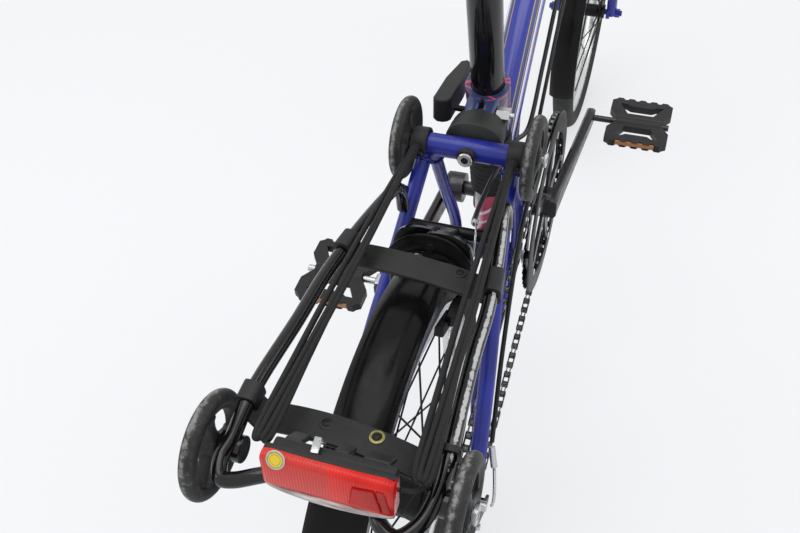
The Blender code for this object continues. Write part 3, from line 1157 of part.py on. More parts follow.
def bar_path():
    """Half of the raised bar, from its middle to the left end."""
    shape = [(0, 0, 0), (0, 0.026, 0), (0, 0.046, 0.004), (0, 0.066, 0.026), (0, 0.090, 0.083), (0, 0.112, 0.101),
             (-0.004, 0.145, BAR_RISE), (-0.012, BAR_HALF_WIDTH - 0.002, BAR_RISE)]
    return [BAR_MIDDLE + Vector(point) for point in shape]


def make_handlepost():
    foot = POST_HINGE_AT
    post = disc(STEERING_FOOT, UP_TUBE, POST_RADIUS, foot + 0.012, BAR_CLAMP_AT - 0.010, 14)
    base = disc(STEERING_FOOT, UP_TUBE, 0.0205, foot - 0.0002, foot + 0.0200, 16)
    arm = block(steering(foot + 0.0100) + POST_HINGE_SIDE * 0.026, (0.030, 0.0126, 0.0140), UP_TUBE, POST_HINGE_SIDE)
    ear = disc(POST_HINGE, POST_HINGE_AXIS, 0.0080, -0.0062, 0.0062, 12)
    link = block(POST_HINGE + UP_TUBE * 0.0080 - POST_HINGE_SIDE * 0.0020, (0.0140, 0.0124, 0.0120), UP_TUBE, POST_HINGE_SIDE)
    clamp = disc(BAR_MIDDLE, Y_AXIS, 0.0190, -0.0200, 0.0200, 14)
    post_part = joined(post, base, arm, link, ear, clamp)
    bar_bore = disc(BAR_MIDDLE, Y_AXIS, BAR_RADIUS + 0.0008, -0.05, 0.05, 16)
    pin_bore = disc(POST_HINGE, POST_HINGE_AXIS, POST_PIN_RADIUS + RUNNING_GAP, -0.05, 0.05, 12)
    place("handlepost", cut(post_part, bar_bore, pin_bore), BLACK_PAINT, "handlepost")

    half = bar_path()
    whole = [sided(point, -1) for point in half[:0:-1]] + half
    bar = tube(smooth_path(whole, 27), BAR_RADIUS, 8)
    for side in (1, -1):
        perch = sided(LEVER_PIVOT, side)
        collar_at = Vector((BAR_MIDDLE.x - 0.002, LEVER_AT * side, perch.z - 0.0025))
        collar = disc(collar_at, Y_AXIS, 0.0150, -0.0070, 0.0070, 12)
        arm = block((collar_at + perch) / 2 + X_AXIS * 0.002, (0.0280, 0.0110, 0.0110), Z_AXIS, X_AXIS)
        pin = disc(perch, Z_AXIS, 0.0030, -0.0100, 0.0100, 10)
        fork_cut = block(perch + X_AXIS * 0.0010, (0.0190, 0.0300, 0.0056), Z_AXIS, X_AXIS)
        bar = joined(bar, cut(joined(collar, arm), fork_cut), pin)
    place("handlebar", bar, BLACK_PAINT, "handlepost")

    for side, label in ((1, "left"), (-1, "right")):
        inner = BAR_HALF_WIDTH - GRIP_LENGTH
        start = BAR_MIDDLE + Vector((-0.0045, inner * side, BAR_RISE))
        end = BAR_MIDDLE + Vector((-0.0120, BAR_HALF_WIDTH * side, BAR_RISE))
        axis = (end - start).normalized()
        length = (end - start).length
        grip = turned([(0, GRIP_RADIUS - 0.001), (length * 0.1, GRIP_RADIUS), (length * 0.9, GRIP_RADIUS),
                       (length, GRIP_RADIUS - 0.002), (length, BAR_RADIUS + 0.0014), (0, BAR_RADIUS + 0.0014)],
                      start, axis, 14)
        place(f"grip_{label}", grip, RUBBER, "handlepost")
        pivot = sided(LEVER_PIVOT, side)
        blade_path = smooth_path([pivot + Vector((0.0, 0.0078 * side, 0)), pivot + Vector((0.010, 0.030 * side, 0)),
                                  pivot + Vector((0.018, 0.065 * side, -0.002)),
                                  pivot + Vector((0.016, 0.112 * side, -0.002))], 7)
        blade = joined(disc(pivot, Z_AXIS, 0.0085, -0.0024, 0.0024, 12), tube(blade_path, 0.0038, 6))
        hole = disc(pivot, Z_AXIS, 0.0030 + RUNNING_GAP, -0.02, 0.02, 12)
        place(f"brake_lever_{label}", cut(blade, hole), SILVER, f"brake_lever_{label}")

    knob = steering(POST_HINGE_AT)
    away = -POST_HINGE_SIDE
    outer = 0.0220
    lever = joined(disc(knob, away, 0.0100, outer, outer + 0.0120, 12),
                   plate([(-0.004, -0.0070), (0.034, -0.0055), (0.044, -0.0020), (0.044, 0.0020), (0.034, 0.0055),
                          (-0.004, 0.0070)], knob, -UP_TUBE, away.cross(-UP_TUBE), outer + 0.0030, outer + 0.0100))
    place("handlepost_clamp", lever, BLACK_PLASTIC, "handlepost_clamp")


# Cables: points chosen along each route, in metres
def make_cables():
    rear_brake = [(0.8330, 0.0900, 0.9950), (0.8600, 0.0500, 0.9300), (0.9300, 0.0260, 0.8300), (0.9650, 0.0230, 0.7200),
                  (0.9300, -0.0300, 0.6200), (0.8600, -0.0350, 0.5500), (0.7900, -0.0480, 0.5200),
                  (0.7000, -0.0300, 0.5300), (0.6000, -0.0270, 0.5250), (0.5000, -0.0270, 0.4920),
                  (0.4250, -0.0270, 0.4300), (0.3550, -0.0290, 0.3950), (0.3000, -0.0250, 0.4080),
                  (0.2450, -0.0200, 0.4120), (0.2000, -0.0180, 0.4130), (0.1500, -0.0200, 0.4190),
                  (0.1200, -0.0280, 0.4400)]
    place("rear_brake_cable", tube(smooth_path(rear_brake, 40), 0.0025, 6), BLACK_PLASTIC, "main_frame")
    front_brake = [(0.8330, -0.0900, 0.9950), (0.8700, -0.0500, 0.9300), (0.9400, -0.0280, 0.8300),
                   (0.9850, -0.0250, 0.7200), (1.0000, -0.0250, 0.6200), (0.9920, -0.0250, 0.5400),
                   (0.9750, -0.0250, 0.5080)]
    place("front_brake_cable", tube(smooth_path(front_brake, 19), 0.0025, 6), BLACK_PLASTIC, "steering")
    gear = [(0.8150, -0.1400, 0.9800), (0.8500, -0.0700, 0.9000), (0.9200, -0.0420, 0.8000), (0.9500, -0.0400, 0.7000),
            (0.9150, -0.0420, 0.6000), (0.8500, -0.0480, 0.5350), (0.7900, -0.0560, 0.5080), (0.7000, -0.0360, 0.5180),
            (0.6000, -0.0330, 0.5130), (0.5050, -0.0330, 0.4800), (0.4300, -0.0330, 0.4180), (0.3650, -0.0350, 0.3650),
            (0.3100, -0.0500, 0.4050), (0.2500, -0.0560, 0.4100), (0.1700, -0.0590, 0.3900), (0.0900, -0.0655, 0.3250),
            (0.0350, -0.0720, 0.2600)]
    place("gear_cable", tube(smooth_path(gear, 42), 0.0022, 6), BLACK_PLASTIC, "main_frame")
    indicator = [(0.0330, -0.0725, 0.2560), (0.0200, -0.0790, 0.2380), (0.0060, -0.0830, 0.2180), (0.0010, -0.0820, 0.2110)]
    adjuster = tube([(0.0330, -0.0725, 0.2560), (0.0225, -0.0780, 0.2410)], 0.0032, 8)
    place("indicator_chain", joined(tube(smooth_path([Vector(p) for p in indicator], 10), 0.0016, 6), adjuster), STEEL, "rear_frame")


make_main_frame()
make_seatpost()
make_rear_frame()
make_suspension()
make_rack()
arched_plate("rack_front_plate", 0.0345, 0.0270, 0.0600, -0.0620, RAIL_Z - RAIL_RADIUS - GAP, 0.0050, -0.012)
arched_plate("rack_rear_plate", -0.1310, 0.0240, 0.0570, -0.0640, 0.4430, 0.0100, -0.010)
make_bungee("bungee_left", 1, 0.0430, 0.0405)
make_bungee("bungee_right", -1, -0.0440, -0.0655)
for corner in ("front_left", "front_right", "rear_left", "rear_right"):
    make_roller(f"roller_{corner}", f"roller_{corner}")
make_mudguards()
make_light()
make_brake("rear", REAR_BRAKE, REAR_AXLE, 1)
make_brake("front", FRONT_BRAKE, FRONT_AXLE, -1)
make_tyre("rear_tyre", REAR_AXLE, "rear_wheel")
make_rim("rear_rim", REAR_AXLE, "rear_wheel")
make_spokes("rear_hub_and_spokes", REAR_AXLE, "rear_wheel", REAR_SPOKES, REAR_HUB_RADIUS, REAR_FLANGE_RADIUS,
            REAR_FLANGE_Y, AXLE_RADIUS + RUNNING_GAP, -0.0525)
make_tyre("front_tyre", FRONT_AXLE, "front_wheel")
make_rim("front_rim", FRONT_AXLE, "front_wheel")
make_spokes("front_hub_and_spokes", FRONT_AXLE, "front_wheel", FRONT_SPOKES, FRONT_HUB_RADIUS, FRONT_FLANGE_RADIUS,
            FRONT_FLANGE_Y, AXLE_RADIUS + RUNNING_GAP)
make_drive()
make_cranks()
make_pedals()
make_front_frame()
make_fork()
make_handlepost()
make_cables()
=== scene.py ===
import json
import math

import bmesh
import bpy
import numpy as np
from mathutils import Matrix, Vector

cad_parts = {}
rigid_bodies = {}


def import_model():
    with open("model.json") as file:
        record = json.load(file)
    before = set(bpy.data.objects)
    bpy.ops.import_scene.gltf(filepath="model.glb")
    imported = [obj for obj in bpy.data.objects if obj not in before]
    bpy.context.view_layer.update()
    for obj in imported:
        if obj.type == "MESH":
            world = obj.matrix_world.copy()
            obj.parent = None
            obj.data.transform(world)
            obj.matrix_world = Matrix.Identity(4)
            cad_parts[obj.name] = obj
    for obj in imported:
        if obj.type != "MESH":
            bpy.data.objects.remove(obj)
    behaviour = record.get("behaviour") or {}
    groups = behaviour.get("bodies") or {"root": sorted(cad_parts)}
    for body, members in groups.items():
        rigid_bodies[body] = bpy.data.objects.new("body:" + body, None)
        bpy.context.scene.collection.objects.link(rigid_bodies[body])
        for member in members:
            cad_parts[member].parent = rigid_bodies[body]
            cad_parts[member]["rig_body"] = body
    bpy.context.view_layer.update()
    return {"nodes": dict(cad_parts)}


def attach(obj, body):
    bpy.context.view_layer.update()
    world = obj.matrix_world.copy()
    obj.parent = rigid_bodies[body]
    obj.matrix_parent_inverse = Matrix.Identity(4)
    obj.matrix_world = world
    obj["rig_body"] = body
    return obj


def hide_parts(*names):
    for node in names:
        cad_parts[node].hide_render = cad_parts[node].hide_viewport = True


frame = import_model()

# Camera: it stands behind the bike, to the right and above the rack, and looks ahead and down.
# Its place and turn were worked out from the outlines of parts whose sizes are known.
CAMERA_AT = Vector((-0.4577, -0.1590, 0.9146))
CAMERA_RIGHT = Vector((0.3103, -0.9504, -0.0208)).normalized()
CAMERA_UP = Vector((0.6354, 0.1911, 0.7482))
CAMERA_LENS = 39.69
scene = bpy.context.scene
scene.view_settings.view_transform = "Standard"
camera_back = CAMERA_RIGHT.cross(CAMERA_UP).normalized()
camera_turn = Matrix((CAMERA_RIGHT, camera_back.cross(CAMERA_RIGHT), camera_back)).transposed().to_4x4()
camera_data = bpy.data.cameras.new("camera")
camera_data.lens = CAMERA_LENS
camera_data.sensor_width = 36.0
camera_data.clip_start = 0.02
camera = bpy.data.objects.new("camera", camera_data)
camera.matrix_world = Matrix.Translation(CAMERA_AT) @ camera_turn
scene.collection.objects.link(camera)
scene.camera = camera


# Studio: a white room whose light comes from above and from all sides, over a plain pale floor.
# The floor is matt and nearly as bright as the room, and keeps a weak shadow of the bike.
def linear(code):
    """sRGB hex to a linear colour: v/12.92 below 0.04045, else ((v+0.055)/1.055)^2.4."""
    parts = [int(code[i:i + 2], 16) / 255 for i in (1, 3, 5)]
    return (*[v / 12.92 if v <= 0.04045 else ((v + 0.055) / 1.055) ** 2.4 for v in parts], 1.0)


def feed(node, **inputs):
    """Sets a node's inputs, by name or as i and a number, each to a value or from another node's socket."""
    for key, value in inputs.items():
        socket = node.inputs[int(key[1:]) if key[1:].isdigit() else key.replace("_", " ")]
        if isinstance(value, bpy.types.NodeSocket):
            node.id_data.links.new(value, socket)
        else:
            socket.default_value = value


def add_node(tree, kind, settings=None, stops=(), out=0, **inputs):
    """Adds a node with its settings, its colour marks (place, hex) and its inputs, and gives one output."""
    made = tree.nodes.new("ShaderNode" + kind)
    for key, value in (settings or {}).items():
        setattr(made.color_ramp if key == "interpolation" else made, key, value)
    feed(made, **inputs)
    marks = made.color_ramp.elements if stops else ()
    while len(marks) < len(stops):
        marks.new(0.5)
    for mark, (at, _) in zip(marks, stops):
        mark.position = at
    for mark, (_, code) in zip(marks, stops):
        mark.color = linear(code)
    return made.outputs[out] if made.outputs else made


def seen_share(tree):
    """1 for a ray from the camera or a reflection, else 0."""
    camera_ray = add_node(tree, "LightPath", out="Is Camera Ray")
    glossy_ray = add_node(tree, "LightPath", out="Is Glossy Ray")
    return add_node(tree, "Math", {"operation": "MAXIMUM"}, i0=camera_ray, i1=glossy_ray)


FLOOR_SIZE = 7.0
world = bpy.data.worlds.new("white_room")
world.use_nodes = True
room = world.node_tree
room.nodes.clear()
lit = add_node(room, "Background", Color=linear("#F4F7FA"), Strength=0.92)
white = add_node(room, "Background", Color=linear("#FBFBFB"), Strength=1.0)
add_node(room, "OutputWorld", Surface=add_node(room, "MixShader", i0=seen_share(room), i1=lit, i2=white))
scene.world = world

for lamp_name, place_at, size, power in (("softbox_above", (0.1, 0.2, 2.6), 1.6, 19),
                                         ("softbox_left", (-0.6, 2.2, 1.7), 1.3, 8),
                                         ("softbox_right", (0.9, -2.1, 1.9), 1.3, 7)):
    lamp_data = bpy.data.lights.new(lamp_name, "AREA")
    lamp_data.energy = power
    lamp_data.size = size
    lamp = bpy.data.objects.new(lamp_name, lamp_data)
    lamp.location = place_at
    lamp.rotation_euler = (Vector((0.3, 0, 0.3)) - lamp.location).to_track_quat("-Z", "Y").to_euler()
    scene.collection.objects.link(lamp)

floor_mesh = bpy.data.meshes.new("floor")
floor_corners = [(x * FLOOR_SIZE, y * FLOOR_SIZE, -0.0005) for x, y in ((-1, -1), (1, -1), (1, 1), (-1, 1))]
floor_mesh.from_pydata(floor_corners, [], [(0, 1, 2, 3)])
floor = bpy.data.objects.new("floor", floor_mesh)
scene.collection.objects.link(floor)
floor_paint = bpy.data.materials.new("matt_white_floor")
floor_paint.use_nodes = True
tree = floor_paint.node_tree
tree.nodes.clear()
glow_share = add_node(tree, "Math", {"operation": "MULTIPLY"}, i0=seen_share(tree), i1=0.62)
matt = add_node(tree, "BsdfDiffuse", Color=linear("#E9EAEB"))
pale = add_node(tree, "Emission", Color=linear("#F8F8FA"), Strength=1.0)
add_node(tree, "OutputMaterial", Surface=add_node(tree, "MixShader", i0=glow_share, i1=matt, i2=pale))
floor_mesh.materials.append(floor_paint)


# Main frame, rear half: brazed steel tubes, sprayed in blue-black enamel under clear lacquer.
# The seat tube carries the post's split collar and the arched main tube, which ends in half of the hinge.
X = np.array((1.0, 0, 0))
Y = np.array((0, 1.0, 0))
Z = np.array((0, 0, 1.0))
FRAME_ANGLE = math.radians(73)
UP_TUBE = np.array((-math.cos(FRAME_ANGLE), 0, math.sin(FRAME_ANGLE)))
AHEAD = np.array((math.sin(FRAME_ANGLE), 0, math.cos(FRAME_ANGLE)))
SEAT_TUBE_TOP = np.array((0.2687, 0, 0.489))
SEAT_TUBE_LENGTH = 0.2865
SEAT_TUBE_RADIUS = 0.0195
COLLAR_RADIUS = 0.0215
COLLAR_HEIGHT = 0.036
SEATPOST_RADIUS = 0.0159
MAIN_TUBE_RADIUS = 0.019
BOTTOM_BRACKET = np.array((0.372, 0, 0.284))
REAR_HINGE = np.array((0.304, 0, 0.255))
MAIN_HINGE = np.array((0.780, 0.050, 0.5625))
MM = 1000.0


def route(knots, count, cyclic=False):
    """Points at even steps of a Catmull-Rom curve: cubic pieces through the knots, slopes half the chords."""
    knots = np.asarray(knots, float)
    spans = len(knots) if cyclic else len(knots) - 1
    if cyclic:
        padded = np.vstack((knots[-1:], knots, knots[:2]))
    else:
        padded = np.vstack((2 * knots[:1] - knots[1:2], knots, 2 * knots[-1:] - knots[-2:-1]))
    at = np.linspace(0, spans, count, endpoint=not cyclic)
    span = np.minimum(at.astype(int), spans - 1)
    t = (at - span)[:, None]
    a, b, c, d = (padded[span + shift] for shift in range(4))
    return (2 * b + (c - a) * t + (2 * a - 5 * b + 4 * c - d) * t ** 2 + (3 * b - a - 3 * c + d) * t ** 3) / 2


def unit(vectors):
    """Vectors divided by their own lengths."""
    return vectors / np.linalg.norm(vectors, axis=-1, keepdims=True)


def circle(radius, sides=20):
    """Section points (r cos a, r sin a)."""
    angle = np.arange(sides) * 2 * math.pi / sides
    return radius * np.stack((np.cos(angle), np.sin(angle)), -1)


def rounded(wide, high, corner, points=5):
    """Section of a box with quarter-round corners: corner centre + r (cos a, sin a) for each quarter."""
    angle = np.linspace(0, math.pi / 2, points)
    rows = []
    for quarter, (a, b) in enumerate(((1, 1), (-1, 1), (-1, -1), (1, -1))):
        turn = angle + quarter * math.pi / 2
        rows.append(np.stack((a * (wide / 2 - corner) + corner * np.cos(turn),
                              b * (high / 2 - corner) + corner * np.sin(turn)), -1))
    return np.vstack(rows)


def carried(path, section, near=Z, scale=1.0):
    """A section carried along a path, square to it: path + scale (s1 across + s2 heading x across)."""
    path = np.asarray(path, float)
    heading = unit(np.gradient(path, axis=0))
    across = unit(near - heading * (heading @ near)[:, None])
    other = np.cross(heading, across)
    sized = section[None] * np.reshape(scale, (-1, 1, 1))
    return path[:, None] + across[:, None] * sized[..., :1] + other[:, None] * sized[..., 1:]


def turned(profile, centre, axis, steps=48):
    """A profile of (along, radius) turned about an axis: centre + along w + radius (cos a u + sin a v)."""
    profile = np.asarray(profile, float)
    w = unit(np.asarray(axis, float))
    near = X if abs(w[0]) < 0.9 else Y
    u = unit(near - w * near.dot(w))
    v = np.cross(w, u)
    at = np.arange(steps) * 2 * math.pi / steps
    out = np.cos(at)[:, None] * u + np.sin(at)[:, None] * v
    along = profile[:, :1, None] * w
    return np.asarray(centre) + along + profile[:, 1, None, None] * out[None]


def volume_of(points, quads, caps):
    """Six times the signed volume: the sum of (a x b).c over the triangles of all faces."""
    a, b, c, d = (points[quads[:, k]] for k in range(4))
    volume = np.einsum("ij,ij->", np.cross(a, b), c) + np.einsum("ij,ij->", np.cross(a, c), d)
    for cap in caps:
        ring = points[cap]
        volume += np.einsum("ij,ij->", np.cross(ring[0][None], ring[1:-1]), ring[2:])
    return volume


def skin(rings, loop=False):
    """Quads between rings of points, with flat ends or closed on itself, turned outwards.

    The UV map's u goes once round a ring, and its v is the length along the rings in metres."""
    stations, around = rings.shape[:2]
    index = np.arange(stations * around).reshape(stations, around)
    low = index if loop else index[:-1]
    high = np.roll(index, -1, 0) if loop else index[1:]
    quads = np.stack((low, np.roll(low, -1, 1), np.roll(high, -1, 1), high), -1).reshape(-1, 4)
    v = np.concatenate(([0], np.linalg.norm(np.diff(rings.mean(1), axis=0), axis=-1).cumsum()))
    v = np.append(v, v[-1] + v[-1] / max(1, stations - 1)) if loop else v
    v_low, v_high = (np.repeat(part[:, None], around, 1) for part in (v[:-1], v[1:]))
    u = np.tile(np.arange(around) / around, (len(low), 1))
    uv = np.stack((u, v_low, u + 1 / around, v_low, u + 1 / around, v_high, u, v_high), -1).reshape(-1, 4, 2)
    caps = [] if loop else [index[0][::-1], index[-1]]
    points = rings.reshape(-1, 3)
    if volume_of(points, quads, caps) < 0:
        quads = quads[:, ::-1]
        uv = uv[:, ::-1]
        caps = [cap[::-1] for cap in caps]
    return points, quads, uv, caps


def settled(name, mesh, sharp, body, replaced):
    """Puts a mesh into the scene as a piece that rides on a body and stands for solids."""
    mesh.shade_smooth()
    mesh.set_sharp_from_angle(angle=math.radians(sharp))
    made = bpy.data.objects.new(name, mesh)
    scene.collection.objects.link(made)
    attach(made, body)
    if replaced:
        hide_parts(*replaced)
    return made


def piece(name, parts, body, replaced=(), sharp=38):
    """One object from parts of (rings, material) or (rings, material, True) for a closed loop of rings."""
    materials = []
    vertices, faces, uvs, slots = [], [], [], []
    base = 0
    for rings, material, *loop in parts:
        points, quads, uv, caps = skin(np.asarray(rings, float), bool(loop))
        if material not in materials:
            materials.append(material)
        vertices.append(points)
        faces += (quads + base).tolist() + [(cap + base).tolist() for cap in caps]
        uvs.append(uv.reshape(-1, 2))
        uvs.append(np.zeros((sum(len(cap) for cap in caps), 2)))
        slots += [materials.index(material)] * (len(quads) + len(caps))
        base += len(points)
    mesh = bpy.data.meshes.new(name)
    mesh.from_pydata(np.vstack(vertices), [], faces)
    mesh.uv_layers.new(name="surface").data.foreach_set("uv", np.vstack(uvs).ravel())
    mesh.polygons.foreach_set("material_index", slots)
    for material in materials:
        mesh.materials.append(material)
    return settled(name, mesh, sharp, body, replaced)


def dressed(node, material, edge=0.0005, sharp=50):
    """The solid's own shape with its corners merged, a small round along its edges and a smooth skin."""
    source = frame["nodes"][node]
    shape = bmesh.new()
    shape.from_mesh(source.data)
    bmesh.ops.remove_doubles(shape, verts=shape.verts, dist=1e-5)
    bmesh.ops.dissolve_limit(shape, angle_limit=math.radians(1), verts=shape.verts, edges=shape.edges)
    mesh = bpy.data.meshes.new(node + "_skin")
    shape.to_mesh(mesh)
    shape.free()
    mesh.materials.clear()
    mesh.materials.append(material)
    made = settled(node + "_skin", mesh, sharp, source["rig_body"], [node])
    if edge:
        bevel = made.modifiers.new("edge", "BEVEL")
        bevel.width = edge
        bevel.segments = 2
        bevel.limit_method = "ANGLE"
        bevel.angle_limit = math.radians(sharp)
        made.modifiers.new("even", "WEIGHTED_NORMAL").keep_sharp = True
    return made


def finish(name, colour, roughness, gleam=0.5, **inputs):
    """A named material, its nodes and shader, and the Object coordinates that its pattern reads."""
    made = bpy.data.materials.new(name)
    made.use_nodes = True
    own = made.node_tree
    shader = own.nodes["Principled BSDF"]
    feed(shader, Base_Color=linear(colour), Roughness=roughness, Specular_IOR_Level=gleam,
         Coat_Roughness=0.04, **inputs)
    return made, own, shader, add_node(own, "TexCoord", out="Object")


def orange_peel(own, place_on):
    """The faint 2 mm waviness of any sprayed coat, which breaks up its reflections."""
    waves = add_node(own, "TexNoise", Vector=place_on, Scale=MM / 2.2, Detail=1.0)
    return add_node(own, "Bump", Height=waves, Distance=0.0001, Strength=0.25)


def sprayed_enamel(name, dark, light, roughness, coat, gleam):
    """Stove enamel under lacquer: clouds of 45 mm in one colour look deep, and 12 mm patches look handled."""
    made, own, shader, place_on = finish(name, light, roughness, gleam, Coat_Weight=coat)
    clouds = add_node(own, "TexNoise", Vector=place_on, Scale=MM / 45, Detail=3.0)
    rubbed = add_node(own, "TexNoise", Vector=place_on, Scale=MM / 12, Detail=3.0)
    colours = add_node(own, "ValToRGB", stops=((0.35, dark), (0.65, light)), Fac=clouds)
    gloss = add_node(own, "MapRange", i0=rubbed, i1=0.3, i2=0.7, i3=roughness - 0.06, i4=roughness + 0.10)
    feed(shader, Base_Color=colours, Roughness=gloss, Normal=orange_peel(own, place_on))
    return made


NAVY_ENAMEL = sprayed_enamel("navy_enamel", "#191F3C", "#232B52", 0.3, 0.25, 0.3)
BLUE_ENAMEL = sprayed_enamel("royal_blue_enamel", "#151E70", "#1E2A92", 0.3, 0.25, 0.3)


def banded_enamel():
    """Navy enamel with gold pinstripes beside the top panel, a pale band on each side and red dots under it.

    The UV's u is folded, 2 pingpong(u, 0.5), so that 0 is the top line and 1 the bottom line."""
    made, own, shader, place_on = finish("banded_navy_enamel", "#20294F", 0.28, 0.4, Coat_Weight=0.35)
    around = add_node(own, "SeparateXYZ", Vector=add_node(own, "TexCoord", out="UV"))
    folded = add_node(own, "Math", {"operation": "PINGPONG"}, i0=around, i1=0.5)
    doubled = add_node(own, "Math", {"operation": "MULTIPLY"}, i0=folded, i1=2.0)
    bands = add_node(own, "ValToRGB", {"interpolation": "CONSTANT"}, Fac=doubled,
                     stops=((0.0, "#202C8E"), (0.185, "#B59A5B"), (0.202, "#28356E"), (0.275, "#B59A5B"),
                            (0.292, "#2B3C9A"), (0.315, "#E4E4EA"), (0.355, "#A9A6CC"), (0.385, "#20288A")))
    dots = add_node(own, "TexVoronoi", Vector=place_on, Scale=150.0)
    spot = add_node(own, "Math", {"operation": "LESS_THAN"}, i0=dots, i1=0.22)
    under = add_node(own, "Math", {"operation": "GREATER_THAN"}, i0=doubled, i1=0.395)
    dotted = add_node(own, "Math", {"operation": "MULTIPLY"}, i0=spot, i1=under)
    colour = add_node(own, "Mix", {"data_type": "RGBA"}, out=2, i0=dotted, i6=bands, i7=linear("#B0283C"))
    feed(shader, Base_Color=colour, Normal=orange_peel(own, place_on))
    return made


def seat_tube_enamel():
    """Navy enamel with pink strokes on the collar, a wandering pink ring on the collar's top edge that is a
    painted highlight, and slanted stripes lower down.

    The stripes lie over the share of the tube's length, leaned sideways; they liven up a plain dark tube."""
    made, own, shader, place_on = finish("striped_navy_enamel", "#2A3358", 0.3, 0.4, Coat_Weight=0.35)
    slant = (UP_TUBE * 0.8 + Y * 0.9) / SEAT_TUBE_LENGTH
    foot = SEAT_TUBE_TOP - UP_TUBE * SEAT_TUBE_LENGTH
    rise = add_node(own, "VectorMath", {"operation": "DOT_PRODUCT"}, out="Value", i0=place_on,
                    i1=tuple(slant))
    share = add_node(own, "Math", {"operation": "SUBTRACT"}, i0=rise, i1=float(foot.dot(slant)))
    stripes = add_node(own, "ValToRGB", {"interpolation": "CONSTANT"}, Fac=share,
                       stops=((0.0, "#1D2340"), (0.20, "#C23C5C"), (0.235, "#E3D7DE"), (0.25, "#D2506C"),
                              (0.285, "#EADFE4"), (0.30, "#C23C5C"), (0.36, "#20284A"), (0.66, "#2A3358"),
                              (0.70, "#2F3A63")))
    slanted = add_node(own, "Mapping", Vector=place_on, Rotation=(0.6, 0.9, 0.3), Scale=(1.0, 0.35, 1.0))
    strokes = add_node(own, "TexVoronoi", {"feature": "DISTANCE_TO_EDGE"}, Vector=slanted, Scale=44.0)
    thin = add_node(own, "Math", {"operation": "LESS_THAN"}, i0=strokes, i1=0.030)
    height = add_node(own, "SeparateXYZ", Vector=add_node(own, "TexCoord", out="UV"), out="Y")
    high = add_node(own, "Math", {"operation": "GREATER_THAN"}, i0=height, i1=SEAT_TUBE_LENGTH * 0.86)
    drawn = add_node(own, "Math", {"operation": "MULTIPLY"}, i0=thin, i1=high)
    # Painted highlight: a thin wandering pink ring round the collar's top edge stands in for the glint on its
    # lacquer.
    wander = add_node(own, "TexNoise", Vector=place_on, Scale=MM / 25, Detail=3.0)
    swung = add_node(own, "Math", {"operation": "MULTIPLY_ADD"}, i0=wander, i1=0.010, i2=height)
    ring = add_node(own, "Math", {"operation": "COMPARE"}, i0=swung, i1=SEAT_TUBE_LENGTH + 0.0025, i2=0.0011)
    # This mask joins the printed pink strokes and the painted highlight ring.
    pink = add_node(own, "Math", {"operation": "MAXIMUM"}, i0=drawn, i1=ring)
    colour = add_node(own, "Mix", {"data_type": "RGBA"}, out=2, i0=pink, i6=stripes, i7=linear("#C23C66"))
    feed(shader, Base_Color=colour, Normal=orange_peel(own, place_on))
    return made


def moulded(name, dark, light, roughness, grain=0.7, gleam=0.28):
    """Moulded nylon or rubber: matt, with a fine pebbled skin, drawn a little coarse, and dust in patches."""
    made, own, shader, place_on = finish(name, light, roughness, gleam)
    dust = add_node(own, "TexNoise", Vector=place_on, Scale=MM / 30, Detail=6.0, Roughness=0.65)
    pebbles = add_node(own, "TexNoise", Vector=place_on, Scale=MM / grain, Detail=2.0)
    colours = add_node(own, "ValToRGB", stops=((0.38, dark), (0.68, light)), Fac=dust)
    gloss = add_node(own, "MapRange", i0=dust, i1=0.3, i2=0.7, i3=roughness - 0.08, i4=roughness + 0.10)
    skin_bump = add_node(own, "Bump", Height=pebbles, Distance=0.0003, Strength=0.35)
    feed(shader, Base_Color=colours, Roughness=gloss, Normal=skin_bump)
    return made


NYLON = moulded("moulded_black_nylon", "#1B1B1C", "#29292A", 0.46)


def plated(name, dark, light, roughness):
    """Bare metal, turned or drawn: fine streaks half a millimetre apart show its grain.

    Clouds of 9 mm in its gloss keep its reflections from looking flat."""
    made, own, shader, place_on = finish(name, light, roughness, Metallic=1.0)
    streak = add_node(own, "Mapping", Vector=place_on, Scale=(1.0, 6.0, 6.0))
    lines = add_node(own, "TexNoise", Vector=streak, Scale=MM / 3, Detail=4.0)
    worn = add_node(own, "TexNoise", Vector=place_on, Scale=MM / 9, Detail=3.0)
    colours = add_node(own, "ValToRGB", stops=((0.35, dark), (0.65, light)), Fac=lines)
    gloss = add_node(own, "MapRange", i0=worn, i1=0.3, i2=0.7, i3=roughness - 0.08, i4=roughness + 0.12)
    grain = add_node(own, "Bump", Height=lines, Distance=0.00005, Strength=0.3)
    feed(shader, Base_Color=colours, Roughness=gloss, Normal=grain)
    return made


def clamp_bolt_steel():
    """Plated steel, black with grease on the lever's side, where y is above 15 mm, and bright at the nut."""
    made, own, shader, place_on = finish("greased_bolt_steel", "#C0C1C2", 0.3, Metallic=1.0)
    left = add_node(own, "SeparateXYZ", Vector=place_on, out="Y")
    grease = add_node(own, "TexNoise", Vector=place_on, Scale=MM / 4, Detail=3.0)
    soiled = add_node(own, "Math", {"operation": "MULTIPLY_ADD"}, i0=grease, i1=0.004, i2=left)
    black_share = add_node(own, "MapRange", i0=soiled, i1=0.010, i2=0.020, i3=0, i4=1)
    worn = add_node(own, "TexNoise", Vector=place_on, Scale=MM / 3, Detail=3.0)
    colours = add_node(own, "ValToRGB", stops=((0.0, "#C8C9CA"), (0.6, "#1C1C1D")), Fac=black_share)
    gloss = add_node(own, "MapRange", i0=worn, i1=0.3, i2=0.7, i3=0.24, i4=0.4)
    feed(shader, Base_Color=colours, Roughness=gloss)
    return made


STEEL = plated("zinc_plated_steel", "#A9AAAC", "#D2D3D4", 0.28)
SEAT_TUBE_ENAMEL = seat_tube_enamel()


def pipe(half, outer, bore, bevel):
    """Profile of a short tube with broken edges, from -half to half, as (along, radius)."""
    return [(-half, bore), (-half, outer - bevel), (-half + bevel, outer), (half - bevel, outer),
            (half, outer - bevel), (half, bore)]


